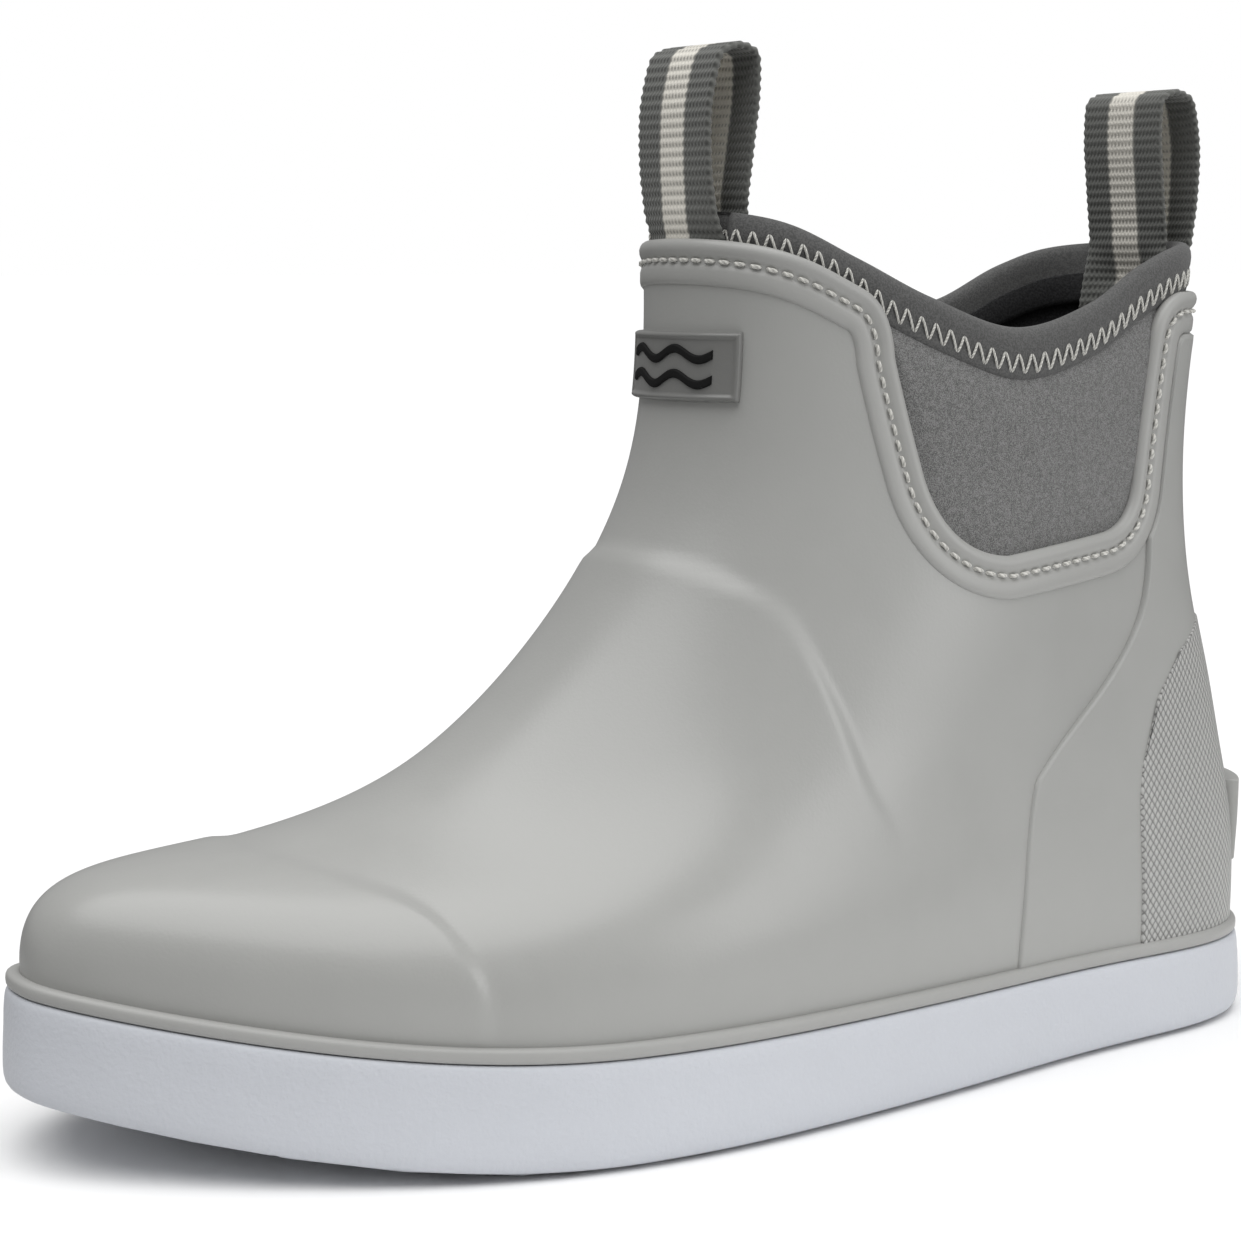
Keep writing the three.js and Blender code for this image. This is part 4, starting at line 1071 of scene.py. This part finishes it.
ZIGZAG_LIFT = 1.9                 # the zigzag climbs this much to clear the rubber's front tab
ZIGZAG_LIFT_ENDS = (30, 16)       # it climbs between these places along the boot
ZIGZAG_SPAN = (0.03, 0.97)        # share of a leg that the thread shows
ZIGZAG_THREAD = 0.68              # its thread is finer than the topstitch's


def build_zigzag():
    """Zigzag stitch on the foot of the binding: each leg is an arch between an upper and a lower hole."""
    seam = lambda t: row_where(t, lambda y: collar_level(y) - BINDING_HEIGHT, -1.9, low=4.0)
    pairs = int(round(seam_length(seam) / mm(sizes().zigzag_pitch)))
    turn = even_turns(2 * pairs, [seam])
    up = np.arange(2 * pairs) % 2
    rise = -BINDING_HEIGHT + 0.1 + up * mm(sizes().zigzag_height)
    share = np.linspace(*ZIGZAG_SPAN, THREAD_STEPS)
    turn_next = np.append(turn[1:], 2 * np.pi)
    turns = turn[:, None] + (turn_next - turn)[:, None] * share
    rises = rise[:, None] + (np.roll(rise, -1) - rise)[:, None] * share
    place = last_point(collar_middle(turns), turns)[..., 1]
    start, end = ZIGZAG_LIFT_ENDS
    rises = rises + ZIGZAG_LIFT * smooth((start - place) / (start - end))
    radius = mm(sizes().thread_radius) * ZIGZAG_THREAD
    depth = np.interp(rises, BINDING_PROFILE[1:9, 0], BINDING_PROFILE[1:9, 1])
    depth = depth - POCKET_DEPTH * tab_share(turns) + stitch_arch(radius + 0.2)
    row = row_where(turns, lambda y: collar_level(y) + rises, depth, low=4.0)
    normals = last_normal(row, turns)
    return threads("zigzag_stitch", skin(row, turns, depth), normals, radius, ("collar_zigzag_stitch",))


def seam_length(curve):
    turn = np.linspace(0, 2 * np.pi, 2000)
    return np.linalg.norm(np.diff(last_point(curve(turn), turn), axis=0), axis=1).sum()


GORE_TURNS = (0.80, 2.55)         # a stretch panel runs between these turns


def gore_puff(points, away):
    """The cloth bulges in the middle of its panel and tucks in under the binding."""
    below_binding = collar_level(points[..., 1]) - BINDING_HEIGHT - points[..., 2]
    return 0.75 * smooth((away - 3) / 9) - 0.9 * (1 - smooth(below_binding / 5))


def build_gores():
    """Stretch panels: cloth that fills each side window from under the rubber's lip to under the binding, a
    little puffed in the middle."""
    start, end = GORE_TURNS
    finish = knit("Gore Knit", colours().gore, colours().gore_fleck, 4600.0, 0.4, 0.00008, 0.15)
    for name, side in (("gore_lateral", 1), ("gore_medial", -1)):
        u, v = crowded(120, 0.02), crowded(70, 0.03)
        turn = (start + (end - start) * u)[None, :] * np.ones_like(v)[:, None]
        turn = turn if side > 0 else 2 * np.pi - turn
        high = row_where(turn, lambda y: collar_level(y) - BINDING_HEIGHT + 1.5, -2.0, low=4.0)
        low = np.minimum(row_where(turn, lambda y: rubber_level(y) - 3.5), high - 0.02)
        row = low + (high - low) * v[:, None]
        patch_piece(
            name + "_panel", row, turn, -1.9, -1.35, 1.0, finish, (name,), relief=gore_puff
        )


def sole_levels(along):
    """Top of the board under the footbed."""
    rise = UPPER_SPRING_SHARE * rocker(along)
    return BOX["insole_board"][1][2] - UPPER_SPRING_SHARE * rocker(BOX["insole_board"][0][1]) + rise


LINING_FOLD = np.array([          # (height from the collar edge, distance from the rubber's surface)
    (-11.6, -5.2), (-6.6, -6.45), (-6.3, -6.6), (-6.6, -6.8), (-11.8, -6.75), (-12.9, -6.4),
])
LINING_OUTSIDE = -2.4             # distances of the lining's two skins from the rubber's surface
LINING_INSIDE = -4.9
SEAM_TAPE_RISE = 0.35             # flat tape on the inside of the back seam


def build_lining():
    """Bootie inside the rubber: two skins a neoprene wall apart, from the board to the collar binding, with a
    flat taped seam down the back. The lining folds over the lower part of the binding's inner side."""
    turn = even_turns(200, [at_row(6.0), at_row(1.0)])[None, :]
    low = row_where(turn, lambda y: sole_levels(y) + 0.3, -4.7, low=0.1)
    high = row_where(turn, lambda y: collar_level(y) - BINDING_HEIGHT - 0.6, -4.7, low=4.0)
    v = np.linspace(0, 1, 70)[:, None]
    row = low + (high - low) * v
    outer = skin(row, turn, np.full(row.shape, LINING_OUTSIDE))
    fold_rise, around = np.broadcast_arrays(LINING_FOLD[:, :1], turn)
    fold = on_collar(around, fold_rise, LINING_FOLD[:, 1:] + 0 * turn)
    high = row_where(turn, lambda y: collar_level(y) - BINDING_HEIGHT - 3.3, LINING_INSIDE, low=4.0)
    row = low + (high - low) * v
    on_seam = smooth((5.0 - np.abs(last_point(row, turn)[..., 0])) / 0.8) * (np.cos(turn) < 0)
    inner = skin(row, turn, LINING_INSIDE - SEAM_TAPE_RISE * on_seam)
    finish = knit("Lining Jersey", colours().lining, (0.045, 0.045, 0.047), 2200.0, 0.5, 0.00008, 0.1)
    points = np.concatenate([outer, fold, inner[::-1]])
    return closed_piece("lining_sock", points, finish, ("bootie_lining",))


# ---------------------------------------------------------------- webbing loops

LOOP_HEIGHT = 34.6                # loop above its pivot
LOOP_GAP = 7.2                    # inside width at the collar
LOOP_BULGE = 10                   # inside width near the top
TAB_DROP = 2.6                    # sewn ends start below the pivot
TAB_LENGTH = 11
OUTER_TAB_DEPTH = -2.15           # faces of the sewn ends, from the rubber's surface
INNER_TAB_DEPTH = -6.5
LOOP_COLUMNS = 41                 # points across the webbing
RIB_STEPS = 6                     # rows of points to one weft rib
STRIPE_HALF = 3.95                # half the pale stripe, up to where it starts to fade
STRIPE_FADE = 0.35


def loop_sheet(pivot, behind, lean, columns):
    """Middle surface of a loop's webbing. It climbs between the rubber and the binding, stands up, turns over
    and runs down inside the binding. The sewn stretches follow the collar's curve across the webbing, and the
    free stretch is straight across. A Catmull-Rom curve joins them at every distance across."""
    half = WEBBING_WIDTH / 2 - 0.35
    across = np.linspace(-half, half, columns)
    out = 1 if behind else -1
    thick = mm(sizes().webbing_thickness)
    stations = []

    def sewn(height, depth):
        row, turn = find(across, np.full(columns, height), behind, depth)
        place = skin(row, turn, depth)
        stations.append(np.stack([across, place[:, 1], place[:, 2]], -1))

    def free(along, height, bow=0.0):
        y = pivot[1] + out * (along - bow * (across / half) ** 2) + lean * (height / LOOP_HEIGHT) ** 2
        stations.append(np.stack([across, y, np.full(columns, pivot[2] + height)], -1))

    drops = (TAB_LENGTH, TAB_LENGTH * 0.66, TAB_LENGTH * 0.33)
    for drop in drops:
        sewn(pivot[2] - TAB_DROP - drop, OUTER_TAB_DEPTH - thick / 2)
    base = LOOP_GAP / 2 + thick / 2
    wide = LOOP_BULGE / 2 + thick / 2
    free(base * 0.98, 0.0, 1.4)
    free(base + 0.2, 4.5, 0.7)
    free(base + 0.7, 9.5, 0.3)
    free(wide - 0.2, 17)
    free(wide, 23.5)
    shoulder = LOOP_HEIGHT - thick / 2 - wide
    for angle in np.radians([35, 65, 90, 115, 145]):
        free(wide * np.cos(angle), shoulder + wide * np.sin(angle))
    free(-wide, 23.5)
    free(-wide + 0.2, 17)
    free(-base - 0.7, 9.5)
    free(-base - 0.2, 4.5)
    free(-base, 0.5)
    for drop in drops[::-1]:
        sewn(pivot[2] - TAB_DROP - drop, INNER_TAB_DEPTH - thick / 2)
    return across, through(np.stack(stations), 24)


def evenly_spaced(sheet):
    """Rows of a sheet at even lengths along its middle, and those lengths. Each new row lies between the two
    rows next to it."""
    middle = sheet[:, sheet.shape[1] // 2]
    run = np.concatenate([[0], np.cumsum(np.linalg.norm(np.diff(middle, axis=0), axis=1))])
    places = np.linspace(0, run[-1], int(run[-1] / WEFT_PITCH * RIB_STEPS))
    index = np.interp(places, run, np.arange(len(run)))
    before = np.minimum(index.astype(int), len(run) - 2)
    part = (index - before)[:, None, None]
    return places, sheet[before] * (1 - part) + sheet[before + 1] * part


def build_pull_loop(name, hinge, behind, lean, nodes):
    """Strip of webbing with a thickness: ribs across it rise and fall along its length, and its edges are
    rounded and notched at every rib."""
    pivot = HINGES[hinge]
    across, sheet = loop_sheet(pivot, behind, lean, LOOP_COLUMNS)
    places, sheet = evenly_spaced(sheet)
    along = unit(np.gradient(sheet, axis=0))
    side = unit(np.gradient(sheet, axis=1))
    normal = unit(np.cross(along, side))
    rib = np.cos(2 * np.pi * places / WEFT_PITCH)[:, None]
    edge = np.abs(across) / np.abs(across).max()
    closing = quarter_round((1 - edge) / 0.05)[None, :]
    ends = quarter_round(np.minimum(places, places[-1] - places))[:, None]
    half = (mm(sizes().webbing_thickness) / 2 - 0.1 + 0.1 * rib) * (0.25 + 0.75 * closing) * ends
    sheet[..., 0] *= 1 + 0.012 * rib * (edge[None, :] > 0.93)
    front = sheet + normal * half[..., None]
    back = sheet - normal * half[..., None]
    points = np.concatenate([front, back[:, ::-1]], 1)
    finish = bpy.data.materials.get("Webbing")
    finish = finish or webbing_cloth("Webbing", colours().webbing, colours().stripe)
    faces, i, j = grid_faces(points.shape[0], points.shape[1], wrap_columns=True)
    x = np.concatenate([across, across[::-1], across[:1]]) * MM
    uv = np.stack([x[j] + WEBBING_WIDTH * MM, places[i] * MM], -1)
    piece = finish_piece(name, points.reshape(-1, 3), faces, uv, finish, None, nodes)
    add_stripe(piece)
    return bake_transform(piece)


def add_stripe(piece):
    """Attribute that is 1 in the middle third of the webbing."""
    count = len(piece.data.vertices)
    places = np.empty(count * 3, np.float32)
    piece.data.vertices.foreach_get("co", places)
    across = np.abs(places.reshape(-1, 3)[:, 0]) / MM
    layer = piece.data.attributes.new("stripe", "FLOAT", "POINT")
    inside = 1 - smooth((across - STRIPE_HALF) / STRIPE_FADE)
    layer.data.foreach_set("value", inside.astype(np.float32))


# ---------------------------------------------------------------- sole

FOXING_REACH = 3.1                # outside of the sole wrap beyond the upper
FOXING_LIFT = 0.8
WELT_HEIGHT = 3
WELT_TOP_TOE = 25.8
WELT_TOP_HEEL = 21.1
UPPER_LENGTH = 286
FROM_WELT = 100                   # a level near this number is counted down from the welt's top
FOOTBED_THICKNESS = 5.5


def welt_top(along):
    share = np.clip(along / UPPER_LENGTH + 0.5, 0, 1)
    return WELT_TOP_TOE + (WELT_TOP_HEEL - WELT_TOP_TOE) * share + UPPER_SPRING_SHARE * rocker(along)


def sole_ring(profile, columns=420):
    """Closed profile carried round the sole's plan outline. Each of its corners is (distance beyond the
    upper, level): a level under half of FROM_WELT is a height above the wrap's foot."""
    turn = even_turns(columns, [at_row(SOLE_ROW)])[None, :]
    along = last_point(SOLE_ROW, turn)[..., 1]
    foot, head = FOXING_LIFT + rocker(along), welt_top(along)
    distance, level = profile[:, :1], profile[:, 1:]
    edge = skin(SOLE_ROW, turn, distance + 0 * turn)
    edge[..., 2] = np.where(level < FROM_WELT / 2, foot + level, head + level - FROM_WELT)
    return edge


def build_foxing():
    """Sole wrap: nearly upright, fullest low down, with a rounded foot edge and drawn in under the welt."""
    top = FROM_WELT - WELT_HEIGHT - 0.1
    profile = np.array([
        (-3.0, 0.0), (-1.6, 0.0), (-0.7, 0.15), (0.0, 0.6), (0.5, 1.4), (0.8, 2.6), (0.9, 4.2), (0.88, 6.0),
        (0.82, 8.0), (0.72, 10.0), (0.6, 12.0), (0.5, top - 4.5), (0.4, top - 3.2), (0.3, top - 2.2),
        (0.18, top - 1.4), (0.05, top - 0.8), (-0.2, top - 0.3), (-0.6, top - 0.05), (-2.6, top), (-2.8, 6.0),
    ])
    profile[:, 0] += FOXING_REACH
    finish = rubber("Sole Rubber", colours().sole, 0.5, pore_scale=900.0, pore_depth=0.00016, variation=0.05)
    return closed_piece("sole_wrap", sole_ring(profile), finish, ("foxing_strip",))


def build_welt():
    """Rounded bead on the wrap's top edge."""
    reach, lift = 1.55, WELT_HEIGHT / 2
    centre_distance, centre_level = FOXING_REACH - reach, FROM_WELT - WELT_HEIGHT / 2
    angle = np.linspace(0, 2 * np.pi, 18, endpoint=False)
    squared = lambda wave: np.sign(wave) * np.abs(wave) ** 0.7
    profile = np.stack(
        [centre_distance + reach * squared(np.cos(angle)), centre_level + lift * squared(np.sin(angle))], -1
    )
    finish = rubber("Welt Rubber", colours().welt, 0.45, pore_scale=1600.0)
    return closed_piece("welt_cord", sole_ring(profile), finish, ("welt_bead",))


def build_footbed():
    """Removable footbed: the sole's outline drawn in, with a rounded rim, on the board's curve."""
    low, high = BOX["footbed"]
    turn = np.linspace(0, np.pi, 90)[:, None]
    inset = np.full_like(turn, low[1] - last_point(SOLE_ROW, 0.0)[1])
    outer, inner = skin(SOLE_ROW, turn, -inset), skin(SOLE_ROW, -turn, -inset)
    share = np.concatenate([crowded(24, 0.06), crowded(24, 0.06)[::-1]])[None, :, None]
    points = inner * (1 - share) + outer * share
    width = np.linalg.norm(outer - inner, axis=-1)
    away = np.minimum(share[..., 0], 1 - share[..., 0]) * width
    away = np.minimum(away, np.minimum(points[..., 1] - low[1], high[1] - points[..., 1]).clip(0))
    middle = sole_levels(points[..., 1]) + 0.3 + FOOTBED_THICKNESS / 2
    upper_half = np.arange(points.shape[1]) < points.shape[1] // 2
    half = np.where(upper_half, 1, -1) * FOOTBED_THICKNESS / 2 * quarter_round(away / 2.2)
    points[..., 2] = middle + half
    finish = knit("Footbed Cloth", (0.035, 0.035, 0.037), (0.09, 0.09, 0.09), 1500.0, 0.6, 0.0001, 0.1)
    return grid_piece(
        "footbed_pad", points, finish, "footbed", ("footbed",), wrap_columns=True
    )


def finish_frame_nodes():
    """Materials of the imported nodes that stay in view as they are."""
    finishes = {
        "outsole": rubber("Tread Rubber", colours().sole, 0.55, pore_scale=900.0, pore_depth=0.00006),
        "midsole": rubber("Midsole Foam", colours().foam, 0.85, pore_scale=500.0, pore_depth=0.0002),
        "insole_board": rubber("Insole Board", colours().board, 0.9, pore_scale=700.0, pore_depth=0.0001),
    }
    for name, finish in finishes.items():
        mesh = frame["nodes"][name].data
        mesh.materials.clear()
        mesh.materials.append(finish)


# ---------------------------------------------------------------- studio

VIEW_TURN = 56.34                 # camera round from the toe, towards the outer side, in degrees
VIEW_RISE = 8.08                  # camera above the ground plane, in degrees
VIEW_DISTANCE = 611.2
VIEW_TARGET = (0.0, -31.9, 81.2)
FOCAL_LENGTH = 88.09              # millimetres on a 36 mm sensor
FRAME_SHIFT = (0.0423, 0.0635)
SENSOR_WIDTH = 36.0
NEAR_CLIP = 0.02                  # in metres

WHITE = (1.0, 1.0, 1.0, 1.0)
SURROUND_STRENGTH = 0.30          # light of the white surround; it is seen at full white
OVERHEAD_SUN = 2.5                # broad even light from above
OVERHEAD_SPREAD = 75              # in degrees
HEEL_FILL = 4.2                   # power of the fill, in watts
FLOOR_REACH = 60.0                # half the floor, in metres
POOL_CENTRE = (0.12, 0.10, 0.0)   # the floor throws most light back beside the heel
FLOOR_POOL = (0.18, 0.5)          # the floor's bounce fades between these distances, in metres
FAR_FLOOR = (0.10, 0.10, 0.10, 1.0)  # colour that it fades to


def build_camera():
    turn, rise = np.radians(VIEW_TURN), np.radians(VIEW_RISE)
    back = Vector((np.sin(turn) * np.cos(rise), -np.cos(turn) * np.cos(rise), np.sin(rise)))
    data = bpy.data.cameras.new("Studio Camera")
    data.lens = FOCAL_LENGTH
    data.sensor_width = SENSOR_WIDTH
    data.shift_x, data.shift_y = FRAME_SHIFT
    data.clip_start = NEAR_CLIP
    camera = bpy.data.objects.new("Studio Camera", data)
    camera.location = (Vector(VIEW_TARGET) + back * VIEW_DISTANCE) * MM
    camera.rotation_euler = (-back).to_track_quat("-Z", "Y").to_euler()
    bpy.context.scene.collection.objects.link(camera)
    bpy.context.scene.camera = camera


def add_softbox(name, place, aim, size, power):
    """Square area light at a place in metres, turned towards its aim."""
    data = bpy.data.lights.new(name, "AREA")
    data.shape = "RECTANGLE"
    data.size, data.size_y = size
    data.energy = power
    light = bpy.data.objects.new(name, data)
    light.location = place
    light.rotation_euler = (Vector(aim) - Vector(place)).to_track_quat("-Z", "Y").to_euler()
    bpy.context.scene.collection.objects.link(light)


def add_sky_light(name, source, strength, spread):
    """Broad parallel light from a direction, with a spread in degrees."""
    data = bpy.data.lights.new(name, "SUN")
    data.energy = strength
    data.angle = np.radians(spread)
    light = bpy.data.objects.new(name, data)
    light.rotation_euler = (-Vector(source)).to_track_quat("-Z", "Y").to_euler()
    bpy.context.scene.collection.objects.link(light)


def build_studio():
    """Pale floor that throws light back only near the boot, a bright surround, one large overhead light and a
    fill at the heel."""
    corners = [(x * FLOOR_REACH, y * FLOOR_REACH, 0) for x, y in ((-1, -1), (1, -1), (1, 1), (-1, 1))]
    mesh = bpy.data.meshes.new("studio_floor")
    mesh.from_pydata(corners, [], [(0, 1, 2, 3)])
    material, tree, shader = new_material("Studio Floor")
    set_inputs(shader, Roughness=0.9, Specular_IOR_Level=0.1)
    away = tree.nodes.new("ShaderNodeVectorMath")
    away.operation = "DISTANCE"
    tree.links.new(object_coordinates(tree), away.inputs[0])
    away.inputs[1].default_value = POOL_CENTRE
    pool = ramp(tree, away.outputs["Value"], *FLOOR_POOL)
    unseen = mix_colours(tree, pool, colour4(colours().floor), FAR_FLOOR)
    seen_floor = tree.nodes.new("ShaderNodeLightPath").outputs["Is Camera Ray"]
    tree.links.new(mix_colours(tree, seen_floor, unseen, WHITE), shader.inputs["Base Color"])
    mesh.materials.append(material)
    floor = bpy.data.objects.new("studio_floor", mesh)
    bpy.context.scene.collection.objects.link(floor)

    world = bpy.data.worlds.new("Studio Surround")
    world.use_nodes = True
    surround = world.node_tree.nodes["Background"]
    surround.inputs["Color"].default_value = WHITE
    tree = world.node_tree
    seen = tree.nodes.new("ShaderNodeLightPath").outputs["Is Camera Ray"]
    strength = math_node(tree, "MULTIPLY_ADD", seen, 1.0 - SURROUND_STRENGTH, SURROUND_STRENGTH)
    tree.links.new(strength, surround.inputs["Strength"])
    bpy.context.scene.world = world
    bpy.context.scene.view_settings.view_transform = "Standard"

    add_sky_light("Overhead", (0.1, -0.2, 1.0), OVERHEAD_SUN, OVERHEAD_SPREAD)
    add_softbox("Heel Fill", (1.1, 0.9, 0.5), (0.0, 0.05, 0.08), (0.6, 0.8), HEEL_FILL)


# ---------------------------------------------------------------- add-on


class DECKBOOT_OT_upper(bpy.types.Operator):
    """Build the moulded rubber shell with its toe cap and vamp steps"""

    bl_idname = "deck_boot.upper"
    bl_label = "Upper Shell"

    def execute(self, context):
        build_upper_shell()
        return {"FINISHED"}


class DECKBOOT_OT_edge(bpy.types.Operator):
    """Build the raised band and the topstitch round the rubber's edge"""

    bl_idname = "deck_boot.edge"
    bl_label = "Edge Band and Topstitch"

    def execute(self, context):
        build_edge_tape()
        build_topstitch()
        return {"FINISHED"}


class DECKBOOT_OT_heel(bpy.types.Operator):
    """Build the heel quarter, the textured heel guard and the kick ledge"""

    bl_idname = "deck_boot.heel"
    bl_label = "Heel Overlays"

    def execute(self, context):
        build_heel_quarter()
        build_heel_guard()
        build_kick_tab()
        return {"FINISHED"}


class DECKBOOT_OT_badges(bpy.types.Operator):
    """Build the front plate with its waves, and the rear plate"""

    bl_idname = "deck_boot.badges"
    bl_label = "Badge Plates"

    def execute(self, context):
        build_badges()
        return {"FINISHED"}


class DECKBOOT_OT_bootie(bpy.types.Operator):
    """Build the lining, the stretch panels, the collar binding and its zigzag stitch"""

    bl_idname = "deck_boot.bootie"
    bl_label = "Neoprene Bootie"

    def execute(self, context):
        build_lining()
        build_gores()
        build_collar_binding()
        build_zigzag()
        return {"FINISHED"}


class DECKBOOT_OT_loops(bpy.types.Operator):
    """Build the two webbing pull loops, which stand up from the collar"""

    bl_idname = "deck_boot.loops"
    bl_label = "Pull Loops"

    def execute(self, context):
        for name, behind, lean in (("front", False, 3.0), ("rear", True, -2.0)):
            nodes = (f"{name}_pull_loop", f"{name}_loop_outer_tab", f"{name}_loop_inner_tab")
            build_pull_loop(f"{name}_webbing", f"{name}_loop_fold", behind, lean, nodes)
        return {"FINISHED"}


class DECKBOOT_OT_sole(bpy.types.Operator):
    """Build the sole wrap, its welt and the footbed, and finish the tread and the inner layers"""

    bl_idname = "deck_boot.sole"
    bl_label = "Sole"

    def execute(self, context):
        build_foxing()
        build_welt()
        build_footbed()
        finish_frame_nodes()
        return {"FINISHED"}


class DECKBOOT_OT_stage(bpy.types.Operator):
    """Set up the camera, the pale floor and the soft lights"""

    bl_idname = "deck_boot.stage"
    bl_label = "Studio Stage"

    def execute(self, context):
        build_camera()
        build_studio()
        return {"FINISHED"}


PIECE_OPERATORS = (
    DECKBOOT_OT_stage,
    DECKBOOT_OT_sole,
    DECKBOOT_OT_upper,
    DECKBOOT_OT_edge,
    DECKBOOT_OT_heel,
    DECKBOOT_OT_badges,
    DECKBOOT_OT_bootie,
    DECKBOOT_OT_loops,
)


class DECKBOOT_PT_panel(bpy.types.Panel):
    """Sizes, colours and pieces of the boot"""

    bl_idname = "DECKBOOT_PT_panel"
    bl_label = "Deck Boot"
    bl_space_type = "VIEW_3D"
    bl_region_type = "UI"
    bl_category = "Deck Boot"

    def draw(self, context):
        layout = self.layout
        for title, group in (("Sizes", sizes()), ("Colours", colours())):
            box = layout.box()
            box.label(text=title)
            for name in group.__annotations__:
                box.prop(group, name)
        for operator in PIECE_OPERATORS:
            layout.operator(operator.bl_idname)


CLASSES = (DeckBootSizes, DeckBootColours, *PIECE_OPERATORS, DECKBOOT_PT_panel)


def register():
    for cls in CLASSES:
        bpy.utils.register_class(cls)
    bpy.types.Scene.deck_boot_sizes = PointerProperty(type=DeckBootSizes)
    bpy.types.Scene.deck_boot_colours = PointerProperty(type=DeckBootColours)


def unregister():
    del bpy.types.Scene.deck_boot_colours
    del bpy.types.Scene.deck_boot_sizes
    for cls in reversed(CLASSES):
        bpy.utils.unregister_class(cls)


def main():
    register()
    bpy.ops.deck_boot.stage()
    bpy.ops.deck_boot.sole()
    bpy.ops.deck_boot.upper()
    bpy.ops.deck_boot.edge()
    bpy.ops.deck_boot.heel()
    bpy.ops.deck_boot.badges()
    bpy.ops.deck_boot.bootie()
    bpy.ops.deck_boot.loops()


if __name__ == "__main__":
    main()
